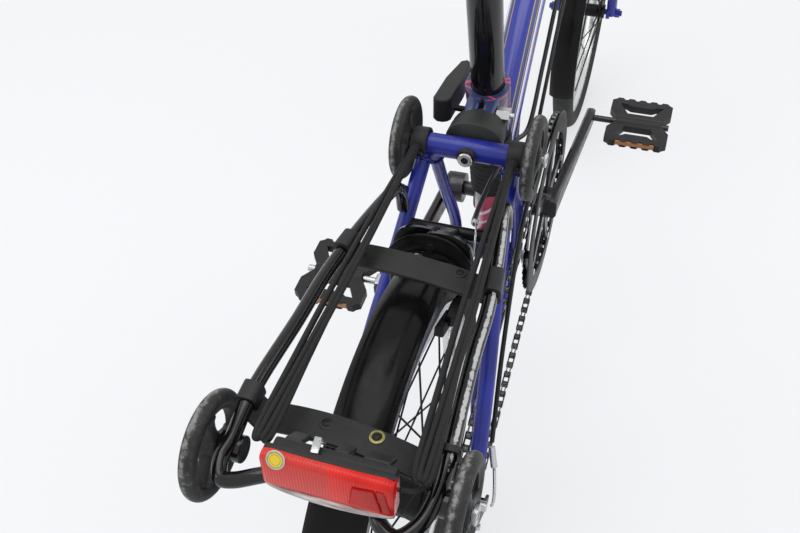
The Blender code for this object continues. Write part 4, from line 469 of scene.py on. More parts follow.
seat_tube_foot = SEAT_TUBE_TOP - UP_TUBE * SEAT_TUBE_LENGTH
bore = SEATPOST_RADIUS + 0.0004
collar_at = SEAT_TUBE_LENGTH - COLLAR_HEIGHT
seat_tube = turned([(0, bore), (0, SEAT_TUBE_RADIUS), (collar_at - 0.003, SEAT_TUBE_RADIUS),
                    (collar_at, COLLAR_RADIUS), (SEAT_TUBE_LENGTH - 0.001, COLLAR_RADIUS),
                    (SEAT_TUBE_LENGTH, COLLAR_RADIUS - 0.0008), (SEAT_TUBE_LENGTH, bore)],
                   seat_tube_foot, UP_TUBE, 72)
main_tube_knots = [(0.318, 0, 0.372), (0.372, 0, 0.4245), (0.4512, 0, 0.491), (0.520, 0, 0.533),
                   (0.600, 0, 0.555), (0.690, 0, 0.562), (0.772, 0, 0.5625)]
main_tube = carried(route(main_tube_knots, 90), circle(MAIN_TUBE_RADIUS, 56))
brace_knots = [(0.3700, 0, 0.290), (0.3835, 0, 0.350), (0.3860, 0, 0.430)]
brace = carried(route(brace_knots, 24), circle(0.0135, 32), Y)
shell = turned(pipe(0.0285, 0.0215, 0.0130, 0.0008), BOTTOM_BRACKET, Y, 64)
barrel = turned(pipe(0.0275, 0.0125, 0.0060, 0.0006), REAR_HINGE, Y, 48)
lug = carried([REAR_HINGE + X * 0.006, REAR_HINGE + X * 0.039], rounded(0.021, 0.034, 0.004), Z)
web = carried([(0.330, 0, 0.3055), (0.374, 0, 0.2945)], rounded(0.050, 0.016, 0.004), Z)
frame_parts = [(seat_tube, SEAT_TUBE_ENAMEL, True), (main_tube, banded_enamel()), (brace, NAVY_ENAMEL),
               (shell, NAVY_ENAMEL, True), (barrel, NAVY_ENAMEL, True), (lug, NAVY_ENAMEL),
               (web, NAVY_ENAMEL)]
for side in (1, -1):
    ear_from = SEAT_TUBE_TOP + Y * side * 0.0085 - UP_TUBE * 0.011
    ear_path = [ear_from - AHEAD * reach for reach in (0.016, 0.028, 0.038)]
    ear = carried(ear_path, rounded(0.020, 0.0130, 0.0035), UP_TUBE, (1.0, 1.0, 0.9))
    frame_parts.append((ear, SEAT_TUBE_ENAMEL))
hinge_plate = carried([(0.7672, 0.004, 0.5625), (0.7792, 0.004, 0.5625)], rounded(0.052, 0.052, 0.006), Z)
frame_parts.append((hinge_plate, BLUE_ENAMEL))
for low, high in ((-0.026, -0.0095), (0.0095, 0.026)):
    at = MAIN_HINGE[2] + (low + high) / 2
    arm = carried([(0.7735, 0.023, at), (0.7735, 0.049, at)], rounded(high - low, 0.0105, 0.002), Z)
    eye = turned([(low, 0.0042), (low, 0.0085), (high, 0.0085), (high, 0.0042)], MAIN_HINGE, Z, 40)
    frame_parts += [(arm, BLUE_ENAMEL), (eye, BLUE_ENAMEL, True)]
pin = turned([(-0.028, 0.0036), (-0.0274, 0.0042), (0.0274, 0.0042), (0.028, 0.0036)], MAIN_HINGE, Z, 32)
frame_parts.append((pin, STEEL))
piece("main_frame_tubes", frame_parts, "main_frame", ["main_frame"])
# The saw cut in the collar is drawn as a dark strip, just proud of it.
slot_top = SEAT_TUBE_TOP - AHEAD * (COLLAR_RADIUS - 0.0009) + UP_TUBE * 0.0002
slot_bar = carried([slot_top, slot_top - UP_TUBE * 0.0300], rounded(0.0032, 0.0026, 0.0006), Y)
piece("collar_slot", [(slot_bar, NYLON)], "main_frame")
dressed("rear_hinge_spindle", STEEL, 0.0004)
dressed("seat_clamp_bolt", clamp_bolt_steel(), 0.0005)
dressed("seat_clamp_lever", NYLON, 0.0012)


# Rubber guard: a ribbed sleeve round the seat tube, moulded in dark rubber and held by its own grip.
# Its ribs are rings, 8 mm from one to the next.
RUBBER = moulded("black_rubber", "#202020", "#343433", 0.72, 1.2)
GUARD_START = 0.135
GUARD_END = 0.215
guard_at = np.linspace(GUARD_START, GUARD_END, 81)
guard_ribs = 0.0216 + 0.0011 * np.maximum(0, np.sin(2 * math.pi * (guard_at - GUARD_START) / 0.008))
guard_wall = np.stack((guard_at, guard_ribs), -1)
guard_profile = np.vstack((guard_wall, [(GUARD_END, 0.0197), (GUARD_START, 0.0197)]))
guard = turned(guard_profile, seat_tube_foot, UP_TUBE, 56)
piece("seat_tube_guard", [(guard, RUBBER, True)], "main_frame")


# Seatpost: drawn steel tube in deep black gloss, open at its foot, clamped by the collar.
# It mirrors the room as two pale streaks along its sides.
BLACK_ENAMEL = sprayed_enamel("gloss_black_enamel", "#0B0B0D", "#121214", 0.14, 0.0, 0.42)
BLACK_ALLOY = plated("black_anodised_aluminium", "#222223", "#303031", 0.38)
POST_SUNK = 0.110
post_foot = SEAT_TUBE_TOP - UP_TUBE * POST_SUNK
post_length = 0.530
wall = SEATPOST_RADIUS - 0.0016
post_edge = SEATPOST_RADIUS - 0.0004
post = turned([(0, wall), (0, post_edge), (0.0004, SEATPOST_RADIUS), (post_length - 0.0004, SEATPOST_RADIUS),
               (post_length, post_edge), (post_length, wall)], post_foot, UP_TUBE, 96)
piece("seatpost_tube", [(post, BLACK_ENAMEL, True)], "seatpost", ["seatpost"])
dressed("saddle_clamp", BLACK_ALLOY, 0.0006)


# Saddle: foam on a plastic shell, covered in smooth black cover fabric with a welt round its lower edge.
# Its width falls from the back to the nose, its top is crowned and its sides are drawn in.
def saddle_cover():
    """Cover cloth: a knit of 1.4 mm over soft patches of light and dark, so that it looks matt and soft."""
    made, own, shader, place_on = finish("saddle_cover_cloth", "#1C1C1E", 0.62)
    creases = add_node(own, "TexNoise", Vector=place_on, Scale=MM / 40, Detail=3.0)
    knit = add_node(own, "TexVoronoi", Vector=place_on, Scale=700.0)
    colours = add_node(own, "ValToRGB", stops=((0.35, "#17171A"), (0.7, "#242427")), Fac=creases)
    thread = add_node(own, "Bump", Height=knit, Distance=0.0002, Strength=0.4)
    feed(shader, Base_Color=colours, Normal=thread)
    return made


SADDLE_COVER = saddle_cover()
saddle_seat = post_foot + UP_TUBE * post_length + Z * 0.048
SADDLE_SIDES = 56
share_on = np.linspace(0, 1, 61)
narrowing = 0.5 - 0.5 * np.cos(math.pi * np.clip((share_on - 0.12) / 0.62, 0, 1))
ends = np.minimum(np.minimum(1.0, np.sin(math.pi / 2 * np.minimum(1, share_on / 0.10 + 0.25))),
                  np.sin(math.pi / 2 * np.minimum(1, (1 - share_on) / 0.08 + 0.25)))
half_width = 0.076 * (1 - 0.80 * narrowing) * ends
lift = 0.014 * (2 * share_on - 1) ** 2 + 0.006 * (1 - share_on)
crown = 0.030 * (0.55 + 0.45 * ends)
corner = np.arange(SADDLE_SIDES) * 2 * math.pi / SADDLE_SIDES
across, up = np.cos(corner), np.sin(corner)
height = np.where(up > 0, crown[:, None] * up, 0.012 * up)
drawn = 1 - 0.12 * np.maximum(0, -up)
saddle_rings = np.stack((np.repeat((-0.118 + 0.262 * share_on)[:, None], SADDLE_SIDES, 1),
                         half_width[:, None] * drawn * np.sign(across) * np.abs(across) ** 0.8,
                         (lift + 0.008)[:, None] + height), -1) + saddle_seat
saddle = piece("saddle_cushion", [(saddle_rings, SADDLE_COVER)], "seatpost", ["saddle"], 60)


# Rear frame: a triangle of thin steel tubes in royal blue enamel, brazed to a thick crossbar.
# It swings on the rear hinge and carries the wheel, the rack and the brake.
REAR_AXLE = np.array((0, 0, 0.2095))
CROSSBAR = np.array((0.199, -0.0015, 0.459))
FRONT_ROLLER = np.array((0.2016, 0.0602, 0.4593))
REAR_BRAKE = REAR_AXLE + np.array((math.cos(math.radians(69)), 0, math.sin(math.radians(69)))) * 0.2440
TENSIONER_PIVOT = np.array((0.018, 0, 0.144))
DROPOUT = [(-0.016, -0.012), (-0.006, -0.020), (0.014, -0.014), (0.024, 0.002), (0.014, 0.028),
           (-0.004, 0.024), (-0.016, 0.010)]


def raised(outline, origin, across, along, low, high, edge=0.0004):
    """A flat outline raised between two heights; its rim is drawn in by a small slope at both faces."""
    outline = np.asarray(outline, float)
    tangent = unit(np.roll(outline, -1, 0) - np.roll(outline, 1, 0))
    inward = np.stack((-tangent[:, 1], tangent[:, 0]), -1)
    x, y = outline.T
    if np.sum(x * np.roll(y, -1) - y * np.roll(x, -1)) < 0:
        inward = -inward
    across = unit(np.asarray(across, float))
    along = unit(np.asarray(along, float))
    normal = np.cross(across, along)
    rings = []
    for height, inset in ((low, edge), (low + edge, 0), (high - edge, 0), (high, edge)):
        flat = outline + inward * inset
        rings.append(np.asarray(origin) + flat[:, :1] * across + flat[:, 1:] * along + height * normal)
    return np.stack(rings)


def disc(centre, axis, radius, low, high, steps=40, edge=0.0005):
    """A turned disc whose rims are broken by a small slope."""
    profile = [(low, radius - edge), (low + edge, radius), (high - edge, radius), (high, radius - edge)]
    return turned(profile, centre, axis, steps)


def weld_bead(centre, axis, radius, size=0.0016, steps=72):
    """A ring of weld: a torus whose section swells with each ripple, r = size (1 + 0.25 cos 18 a)."""
    w = unit(np.asarray(axis, float))
    u = unit(Y - w * Y.dot(w)) if abs(w[1]) < 0.9 else unit(X - w * X.dot(w))
    v = np.cross(w, u)
    at = np.arange(steps) * 2 * math.pi / steps
    swell = size * (1 + 0.25 * np.cos(18 * at))
    out = np.cos(at)[:, None] * u + np.sin(at)[:, None] * v
    section = circle(1.0, 10)
    return (np.asarray(centre) + radius * out[:, None] + swell[:, None, None]
            * (section[None, :, :1] * out[:, None] + section[None, :, 1:] * w))


rear_parts = []
crossbar_reach = np.array((-0.0435, -0.0431, 0.0431, 0.0435))
crossbar = carried(CROSSBAR + crossbar_reach[:, None] * Y, circle(0.0105, 48), Z, (0.94, 1, 1, 0.94))
rear_parts.append((crossbar, BLUE_ENAMEL))
for side in (1, -1):
    mirror = np.array((1, side, 1))
    stay_knots = np.array([(0.205, 0.0400, 0.455), (0.1315, 0.0480, 0.3827), (0.062, 0.0582, 0.308),
                           (0.006, 0.0645, 0.226)])
    strut_knots = np.array([(0.207, 0.0375, 0.455), (0.256, 0.0380, 0.372), (0.295, 0.0355, 0.300),
                            (0.304, 0.0345, 0.255)])
    chainstay_knots = np.array([(0.304, 0.0345, 0.255), (0.190, 0.0375, 0.2375), (0.112, 0.0405, 0.2257),
                                (0.070, 0.0520, 0.2190), (0.008, 0.0632, 0.2095)])
    stay = route(stay_knots * mirror, 40)
    strut = route(strut_knots * mirror, 30)
    chainstay = route(chainstay_knots * mirror, 50)
    for path, radius in ((stay, 0.0075), (strut, 0.0065), (chainstay, 0.0065)):
        rear_parts.append((carried(path, circle(radius, 28), Y), BLUE_ENAMEL))
    rear_parts.append((weld_bead(stay[2], stay[4] - stay[0], 0.0080), BLUE_ENAMEL, True))
    rear_parts.append((weld_bead(strut[3], strut[5] - strut[1], 0.0070), BLUE_ENAMEL, True))
    hinge_lug = [(0.0279, 0.0061), (0.0279, 0.0125), (0.0284, 0.0130), (0.0395, 0.0130), (0.0400, 0.0125),
                 (0.0400, 0.0061)]
    rear_parts.append((turned(hinge_lug, REAR_HINGE, Y * side, 48), BLUE_ENAMEL, True))
    outline = route(DROPOUT, 56, cyclic=True)
    inner, outer = (0.0565, 0.0615) if side < 0 else (-0.0615, -0.0565)
    rear_parts.append((raised(outline, REAR_AXLE, X, Z, inner, outer), BLUE_ENAMEL))
    roller_at = FRONT_ROLLER * mirror
    rear_parts.append((disc(roller_at, Y * side, 0.0034, -0.0190, 0.0120), STEEL))
    rear_parts.append((disc(roller_at, Y * side, 0.0070, 0.0095, 0.0120), STEEL))
    rear_parts.append((disc(REAR_AXLE, Y * side, 0.0090, 0.0620, 0.0700, 6, 0.0008), STEEL))
    rear_parts.append((disc(REAR_AXLE, Y * side, 0.0120, 0.0612, 0.0622, 40, 0.0003), STEEL))
hanger = [(-0.012, -0.010), (0.014, -0.010), (0.028, -0.0655), (0.018, -0.0745), (0.008, -0.0655)]
rear_parts.append((raised(hanger, REAR_AXLE, X, Z, 0.0577, 0.0609), BLACK_ALLOY))
rear_parts.append((disc(TENSIONER_PIVOT, Y, 0.0035, -0.0700, -0.0455), STEEL))
rear_parts.append((disc(REAR_AXLE, Y, 0.0048, -0.0780, 0.0780), STEEL))
# The brake bridge: a black bar between the stays and an arm from it to the brake's bolt.
brake_back = -np.cross(Y, unit(REAR_BRAKE - REAR_AXLE))
bridge_at = np.array((0.1500, 0, 0.4010))
bolt_foot = REAR_BRAKE - brake_back * 0.018
rear_parts.append((disc(bridge_at, Y, 0.0058, -0.0460, 0.0460), BLACK_ALLOY))
rear_parts.append((disc(REAR_BRAKE, brake_back, 0.0030, -0.024, 0.0118), BLACK_ALLOY))
rear_parts.append((carried([bridge_at, bolt_foot], rounded(0.0150, 0.0075, 0.002), Y), BLACK_ALLOY))
piece("rear_frame_tubes", rear_parts, "rear_frame", ["rear_frame"])


# Left stay's bumper: a short plug of black rubber, moulded with a rounded end.
# It is pushed into a boss on the stay, and the folded frame rests on it.
bumper_at = np.array((0.1720, 0.0490, 0.4170))
bumper = turned([(0.0, 0.0050), (0.004, 0.0062), (0.012, 0.0060), (0.0145, 0.0046), (0.0155, 0.0020)],
                bumper_at, (-0.45, 0.55, 0.7), 32)
piece("stay_bumper", [(bumper, RUBBER)], "rear_frame")


# Suspension block: a low barrel of dark grey rubber pressed between the crossbar and the seat tube.
# One socket screw through the crossbar holds it; a black bush stands round the screw's head.
ALLOY = plated("polished_aluminium", "#C4C5C6", "#E2E3E3", 0.24)
SUSPENSION_RUBBER = moulded("suspension_rubber", "#282A29", "#363837", 0.6, 1.0, 0.35)
bolt_face = CROSSBAR - X * 0.0105
block_turn = np.linspace(0, 2 * math.pi, 64, endpoint=False)
block_cos, block_sin = np.cos(block_turn), np.sin(block_turn)
block_section = np.stack((0.0265 * np.sign(block_cos) * np.abs(block_cos) ** 0.85,
                          0.0205 * np.sign(block_sin) * np.abs(block_sin) ** 0.85), -1)
block_x = np.array((0.2099, 0.2103, 0.2112, 0.2250, 0.2290, 0.2330, 0.2385, 0.2396, 0.2402))
block_scale = np.array((0.955, 0.985, 1.0, 0.995, 0.975, 0.975, 0.94, 0.92, 0.88))
block_at = np.stack((block_x, np.full(9, CROSSBAR[1]), np.full(9, CROSSBAR[2])), -1)
rubber_block = carried(block_at, block_section, Y, block_scale)
plate_disc = carried([(0.2402, CROSSBAR[1], CROSSBAR[2]), (0.2460, CROSSBAR[1], CROSSBAR[2])],
                     block_section * 0.7, Y)
piece("suspension_rubber_block", [(rubber_block, SUSPENSION_RUBBER), (plate_disc, NYLON)], "rear_frame",
      ["suspension_block"], 50)
socket = turned([(0, 0.0036), (0, 0.0066), (0.0006, 0.0070), (0.0040, 0.0070), (0.0046, 0.0064),
                 (0.0046, 0.0034)], bolt_face - X * 0.0036, -X, 48)
# Painted shade: the hex socket's floor is black nylon, standing in for the shade in the recess of the
# polished screw.
hex_socket_painted_shade = turned([(0, 0.0036), (0.0016, 0.0036), (0.0017, 0.0004)], bolt_face - X * 0.0036, -X, 6)
bush = turned([(0, 0.0090), (0.0036, 0.0090), (0.0048, 0.0082), (0.0048, 0.0074), (0, 0.0074)], bolt_face,
              -X, 56)
shank = disc(CROSSBAR, X, 0.0036, -0.0145, 0.0205)
piece("suspension_screw", [(socket, ALLOY, True), (hex_socket_painted_shade, NYLON), (bush, NYLON, True), (shank, STEEL)],
      "rear_frame", ["suspension_bolt"])


# Rack: one steel rod bent into two rails and a loop behind them, in black gloss enamel.
# The rear rollers turn on bolts in bosses brazed to the rails. A painted highlight, a broken pale streak,
# lies along the right rail's upper outer side.
RAIL_Z = 0.458
REAR_ROLLER_LEFT = np.array((-0.1516, 0.0853, 0.4311))
REAR_ROLLER_RIGHT = np.array((-0.1516, -0.0900, 0.4311))
ROLLER_HALF_WIDTH = 0.0060
rail = [(0.1500, 0.0475, 0.4180), (0.1440, 0.0475, 0.4400), (0.1250, 0.0480, 0.4550),
        (0.0622, 0.0570, RAIL_Z), (0.0030, 0.0625, RAIL_Z), (-0.0485, 0.0635, RAIL_Z),
        (-0.1036, 0.0665, 0.4570), (-0.1290, 0.0675, 0.4530)]
left_bend = [(-0.1506, 0.0685, 0.4440), (-0.1640, 0.0708, 0.4395), (-0.1762, 0.0660, 0.4362),
             (-0.1765, 0.0560, 0.4370), (-0.1700, 0.0400, 0.4400), (-0.1610, 0.0240, 0.4395)]
right_bend = [(-0.1506, 0.0665, 0.4440), (-0.1700, 0.0610, 0.4360), (-0.1830, 0.0490, 0.4330),
              (-0.1770, 0.0360, 0.4340), (-0.1630, 0.0260, 0.4360)]
left_rail = rail + left_bend
right_rail = [(x, -(y + 0.002 + 0.005 * (0.15 - x) / 0.3), z) for x, y, z in rail + right_bend]


def enamel_with_painted_highlight():
    """Gloss black enamel with a painted highlight: a broken pale streak along the right rail's upper outer
    side.

    The streak lies where y is below -55 mm and the normal's dot product with (0, -0.5, 0.87) is above 0.9."""
    made, own, shader, place_on = finish("black_enamel_with_painted_highlight", "#0D0D0F", 0.14, 0.42)
    direction = add_node(own, "TexCoord", out="Normal")
    facing = add_node(own, "VectorMath", {"operation": "DOT_PRODUCT"}, out="Value", i0=direction,
                      i1=(0.0, -0.50, 0.87))
    sideways = add_node(own, "SeparateXYZ", Vector=place_on, out="Y")
    # Painted highlight: on the right rail, the side that faces up and to the right gets a pale streak in its
    # colour.
    right_side = add_node(own, "Math", {"operation": "LESS_THAN"}, i0=sideways, i1=-0.055)
    highlight_share = add_node(own, "MapRange", i0=facing, i1=0.90, i2=0.99, i3=0, i4=0.40)
    rubbed = add_node(own, "Math", {"operation": "MULTIPLY"}, i0=highlight_share, i1=right_side)
    scratches = add_node(own, "TexNoise", Vector=place_on, Scale=MM / 4, Detail=6.0, Roughness=0.7)
    # This sum holds the scratch noise and the painted highlight together.
    worn = add_node(own, "Math", {"operation": "ADD"}, i0=scratches, i1=rubbed)
    # The pale last stop, #B4B4B2, is the painted highlight; the two dark stops follow the scratch noise.
    colours = add_node(own, "ValToRGB", Fac=worn,
                       stops=((0.40, "#0C0C0E"), (0.74, "#141416"), (0.82, "#B4B4B2")))
    gloss = add_node(own, "MapRange", i0=worn, i1=0.5, i2=0.9, i3=0.12, i4=0.5)
    feed(shader, Base_Color=colours, Roughness=gloss, Normal=orange_peel(own, place_on))
    return made


rail_path = route(left_rail + [(-0.1590, -0.004, 0.4385)] + right_rail[::-1], 260)
rack_parts = [(carried(rail_path, circle(0.0055, 22), Z), enamel_with_painted_highlight())]
for side, rail_y, roller in ((1, 0.0665, REAR_ROLLER_LEFT), (-1, 0.0735, REAR_ROLLER_RIGHT)):
    foot = roller * np.array((1, 0, 1))
    out = abs(roller[1])
    near, far = out - ROLLER_HALF_WIDTH - 0.0012, out + ROLLER_HALF_WIDTH + 0.0012
    rack_parts.append((disc(foot + Z * 0.004, Y * side, 0.0095, rail_y - 0.006, near), BLACK_ENAMEL))
    rack_parts.append((disc(foot, Y * side, 0.0034, rail_y - 0.005, far), STEEL))
    head = turned([(far, 0.0068), (far + 0.0024, 0.0068), (far + 0.0030, 0.0060), (far + 0.0030, 0.0030),
                   (far + 0.0008, 0.0030), (far + 0.0008, 0.0003)], foot, Y * side, 40)
    rack_parts.append((head, STEEL))
piece("rack_rails", rack_parts, "rear_frame", ["rear_rack"])


# Rack plates: two moulded nylon bridges that hold the rails apart, arched towards their middle.
# Socket screws in counterbores fix them; one of the rear screws has a brass ring.
BRASS = plated("brass", "#7E7748", "#A39B66", 0.4)
DARK_STEEL = plated("blackened_steel", "#1F1F20", "#343435", 0.42)


def plate_top(t, edge_z, plate_crown):
    """Height of the arch at a share t of its width: edge + crown sin(pi t)^0.7."""
    return edge_z + plate_crown * np.sin(math.pi * np.clip(t, 1e-6, 1 - 1e-6)) ** 0.7


def arched_plate(name, x, depth, left_y, right_y, edge_z, plate_crown, skew, screws):
    """The plate's section, a low box with round shoulders, is carried from left to right under the rails.

    Each end runs on to the nearest point of its rail, and a sleeve of nylon grips the rail there."""
    t = np.linspace(0, 1, 61)
    level = plate_top(t, edge_z, plate_crown) - 0.0020
    path = np.stack((x + skew * (t - 0.5), left_y + (right_y - left_y) * t, level), -1)
    ends = []
    for at, side_rail in ((path[0], left_rail), (path[-1], right_rail)):
        near = route(np.array(side_rail[:8]), 200)
        on_rail = near[np.argmin(np.abs(near[:, 0] - at[0]))]
        ends.append([at + (on_rail - at) * share for share in (0.8, 0.5, 0.2)])
    path = np.vstack((ends[0], path, ends[1][::-1]))
    section = rounded(0.0040, depth, 0.0014, 6)
    rings = path[:, None] + section[None, :, :1] * Z + section[None, :, 1:] * X
    parts = [(rings, NYLON)]
    for screw_x, screw_y, ring_finish, core_finish in screws:
        level = float(plate_top((screw_y - left_y) / (right_y - left_y), edge_z, plate_crown))
        seat = np.array((screw_x, screw_y, level))
        collar = [(-0.001, 0.0054), (0.0003, 0.0054), (0.0005, 0.0050), (0.0005, 0.0036), (-0.001, 0.0034)]
        core = [(-0.001, 0.0033), (0.0001, 0.0033), (0.0003, 0.0031), (0.0003, 0.0016), (-0.0006, 0.0016),
                (-0.0006, 0.0002)]
        parts.append((turned(collar, seat, Z, 40), ring_finish, True))
        parts.append((turned(core, seat, Z, 6), core_finish))
    for side_rail in (left_rail, right_rail):
        near = route(np.array(side_rail[:8]), 200)
        gripped = near[np.abs(near[:, 0] - x - skew / 2 * (1 if side_rail is right_rail else -1)) < depth / 2]
        parts.append((carried(gripped[::3], rounded(0.0165, 0.0150, 0.0050), Z), NYLON))
    piece(name, parts, "rear_frame", [name.replace("_moulding", "")])


arched_plate("rack_front_plate_moulding", 0.0345, 0.0270, 0.0600, -0.0620, 0.4521, 0.0050, -0.012,
             [(0.036, 0.043, NYLON, DARK_STEEL), (0.038, -0.036, NYLON, DARK_STEEL)])
arched_plate("rack_rear_plate_moulding", -0.1310, 0.0240, 0.0570, -0.0640, 0.4430, 0.0100, -0.010,
             [(-0.127, 0.0097, NYLON, DARK_STEEL), (-0.1275, -0.0253, BRASS, DARK_STEEL)])


# Bungees: elastic cords in a woven black sleeve, doubled from the crossbar's ends to the rear plate.
# Each hangs on a moulded hook that is curved round the end of the crossbar.
def woven_sleeve():
    """Braid over elastic: two sets of strands cross at a slant, about 2 mm apart, so that it looks woven.

    Its height is sin(b + a) sin(b - a): a turns 8 times round the cord, b once every 3 mm along it."""
    made, own, shader = finish("woven_black_cord", "#151516", 0.6, 0.3)[:3]
    uv = add_node(own, "TexCoord", out="UV")
    around = add_node(own, "SeparateXYZ", Vector=uv)
    length = add_node(own, "SeparateXYZ", Vector=uv, out="Y")
    along = add_node(own, "Math", {"operation": "MULTIPLY"}, i0=length, i1=2 * math.pi / 0.0030)
    strands = []
    for sign in (1, -1):
        slant = add_node(own, "Math", {"operation": "MULTIPLY"}, i0=around, i1=sign * 8.0 * 2 * math.pi)
        both_ways = add_node(own, "Math", {"operation": "ADD"}, i0=slant, i1=along)
        strands.append(add_node(own, "Math", {"operation": "SINE"}, i0=both_ways))
    braid = add_node(own, "Math", {"operation": "MULTIPLY"}, i0=strands[0], i1=strands[1])
    share = add_node(own, "MapRange", i0=braid, i1=-1, i2=1, i3=0, i4=1)
    colours = add_node(own, "ValToRGB", stops=((0.2, "#0C0C0D"), (0.8, "#202021")), Fac=share)
    weave = add_node(own, "Bump", Height=braid, Distance=0.0004, Strength=0.5)
    feed(shader, Base_Color=colours, Normal=weave)
    return made


WOVEN_CORD = woven_sleeve()
for label, front_y, back_y in (("left", 0.0440, 0.0405), ("right", -0.0450, -0.0655)):
    shares = np.linspace(0, 1, 6)
    cords = []
    for spread_y, height, radius in ((0.0052, 0.0, 0.0024), (0.0020, 0.0016, 0.0021)):
        wander = 0.0022 * np.sin(shares * math.pi) * (1 if spread_y > 0.003 else -1)
        out_y = front_y + (back_y - front_y) * shares + wander + spread_y * (0.35 + 0.65 * shares)
        out_way = np.stack((0.180 - 0.334 * shares, out_y,
                            0.4660 + height + 0.0020 * np.sin(shares * math.pi)), -1)
        home_way = out_way[::-1].copy()
        home_way[:, 1] -= 2 * spread_y * (0.35 + 0.65 * shares[::-1])
        bend = [(-0.1575, back_y, 0.4650 + height)]
        cords.append((carried(route(np.vstack((out_way, bend, home_way)), 200), circle(radius, 16), Z),
                      WOVEN_CORD))
    turn = np.radians(np.linspace(205, -10, 30))
    arc = CROSSBAR + np.stack((0.0128 * np.cos(turn), np.full(30, front_y - CROSSBAR[1]),
                               0.0128 * np.sin(turn)), -1)
    arc = np.vstack(([(0.1800, front_y, 0.4600), (0.1835, front_y, 0.4560)], arc[2:]))
    hook_scale = np.concatenate((np.linspace(0.75, 1, 6), np.ones(50), np.linspace(1, 0.8, 4)))
    hook = carried(route(arc, 60), rounded(0.0145, 0.0038, 0.0016), Y, hook_scale)
    piece(f"bungee_cord_{label}", [*cords, (hook, NYLON)], "rear_frame", [f"bungee_{label}"])


# Rollers: moulded nylon wheels with three open spokes, shod in charcoal rubber that is worn and dusty.
# Each turns on a steel bolt.
def worn_rubber():
    """Tread rubber: charcoal with a pale scuffed band on its crown, so that it looks used and dusty.

    The crown is where the UV's v is 6.8 mm, and the band fades out between 1 and 3.8 mm from it."""
    made, own, shader, place_on = finish("worn_charcoal_rubber", "#2A2A2A", 0.55, 0.4)
    along = add_node(own, "SeparateXYZ", Vector=add_node(own, "TexCoord", out="UV"), out="Y")
    from_crown = add_node(own, "Math", {"operation": "SUBTRACT"}, i0=along, i1=0.0068)
    off_crown = add_node(own, "Math", {"operation": "ABSOLUTE"}, i0=from_crown)
    crown_share = add_node(own, "MapRange", i0=off_crown, i1=0.0010, i2=0.0038, i3=0.22, i4=0.0)
    scuffs = add_node(own, "TexNoise", Vector=place_on, Scale=MM / 5, Detail=8.0, Roughness=0.75)
    grit = add_node(own, "TexNoise", Vector=place_on, Scale=MM / 1.6, Detail=5.0, Roughness=0.7)
    patches = add_node(own, "Math", {"operation": "ADD"}, i0=scuffs, i1=crown_share)
    colours = add_node(own, "ValToRGB", Fac=patches,
                       stops=((0.50, "#1D1D1D"), (0.64, "#333332"), (0.78, "#807F7C")))
    rough = add_node(own, "Bump", Height=grit, Distance=0.0003, Strength=0.4)
    feed(shader, Base_Color=colours, Normal=rough)
    return made


WORN_RUBBER = worn_rubber()
SPOKE_NYLON = moulded("roller_nylon", "#232324", "#3A3A3B", 0.5)
ROLLER_RADIUS = 0.0390
for body_name, centre in (("roller_front_left", FRONT_ROLLER),
                          ("roller_front_right", FRONT_ROLLER * np.array((1, -1, 1))),
                          ("roller_rear_left", REAR_ROLLER_LEFT), ("roller_rear_right", REAR_ROLLER_RIGHT)):
    w = ROLLER_HALF_WIDTH
    shoulder = np.linspace(0, math.pi, 21)
    crown = np.stack((w * np.sign(np.cos(shoulder)) * np.abs(np.cos(shoulder)) ** 0.9,
                      ROLLER_RADIUS - 0.0062 + 0.0062 * np.sin(shoulder)), -1)
    tread_profile = np.vstack(([(w - 0.0022, 0.0283), (w - 0.0010, 0.0293)], crown,
                               [(-w + 0.0010, 0.0293), (-w + 0.0022, 0.0283)]))
    web_profile = [(-0.0038, 0.0262), (-0.0044, 0.0288), (0.0044, 0.0288), (0.0038, 0.0262)]
    hub_profile = [(-w, 0.0040), (-w, 0.0094), (-w + 0.0006, 0.0100), (w - 0.0006, 0.0100), (w, 0.0094),
                   (w, 0.0040)]
    parts = [(turned(tread_profile, centre, Y, 96), WORN_RUBBER, True),
             (turned(web_profile, centre, Y, 96), SPOKE_NYLON, True),
             (turned(hub_profile, centre, Y, 48), SPOKE_NYLON, True)]
    for arm in range(3):
        angle = math.radians(90 + 120 * arm)
        out = np.array((math.cos(angle), 0, math.sin(angle)))
        reach = np.array((0.0085, 0.0120, 0.0180, 0.0240, 0.0280))
        arm_rings = carried(centre + reach[:, None] * out, rounded(0.0105, 0.0076, 0.0022), Y,
                            (1.25, 1.0, 0.92, 1.0, 1.25))
        parts.append((arm_rings, SPOKE_NYLON))
    piece(f"{body_name}_wheel", parts, body_name, [body_name])


# Mudguards: thin moulded blades arched over the tyres, in gloss black with rolled lips.
# Wire stays and the frame hold them clear of the tread.
FRONT_AXLE = np.array((1.045, 0, 0.2095))


def mudguard(outer, half_width, offset, centre, start, end, steps):
    """A thin arch from start to end degrees round the axle: centre + radius (cos a, sin a) + across Y."""
    across_share = np.linspace(-1, 1, 25)
    drop = 0.0008 + 0.0062 * np.abs(across_share) ** 3
    top = np.stack((offset + half_width * across_share, outer - drop), -1)
    lips = [(offset + half_width, outer - 0.0143), (offset + half_width - 0.0006, outer - 0.0150),
            (offset + half_width - 0.0016, outer - 0.0143)]
    under = np.stack((offset + (half_width - 0.0016) * across_share[::-1], outer - drop[::-1] - 0.0016), -1)
    far_lips = [(2 * offset - a, r) for a, r in reversed(lips)]
    profile = np.vstack((top, lips, under, far_lips))
    angle = np.radians(np.linspace(start, end, steps))
    out = np.stack((np.cos(angle), 0 * angle, np.sin(angle)), -1)
    return np.asarray(centre) + profile[None, :, 1:] * out[:, None] + profile[None, :, :1] * Y


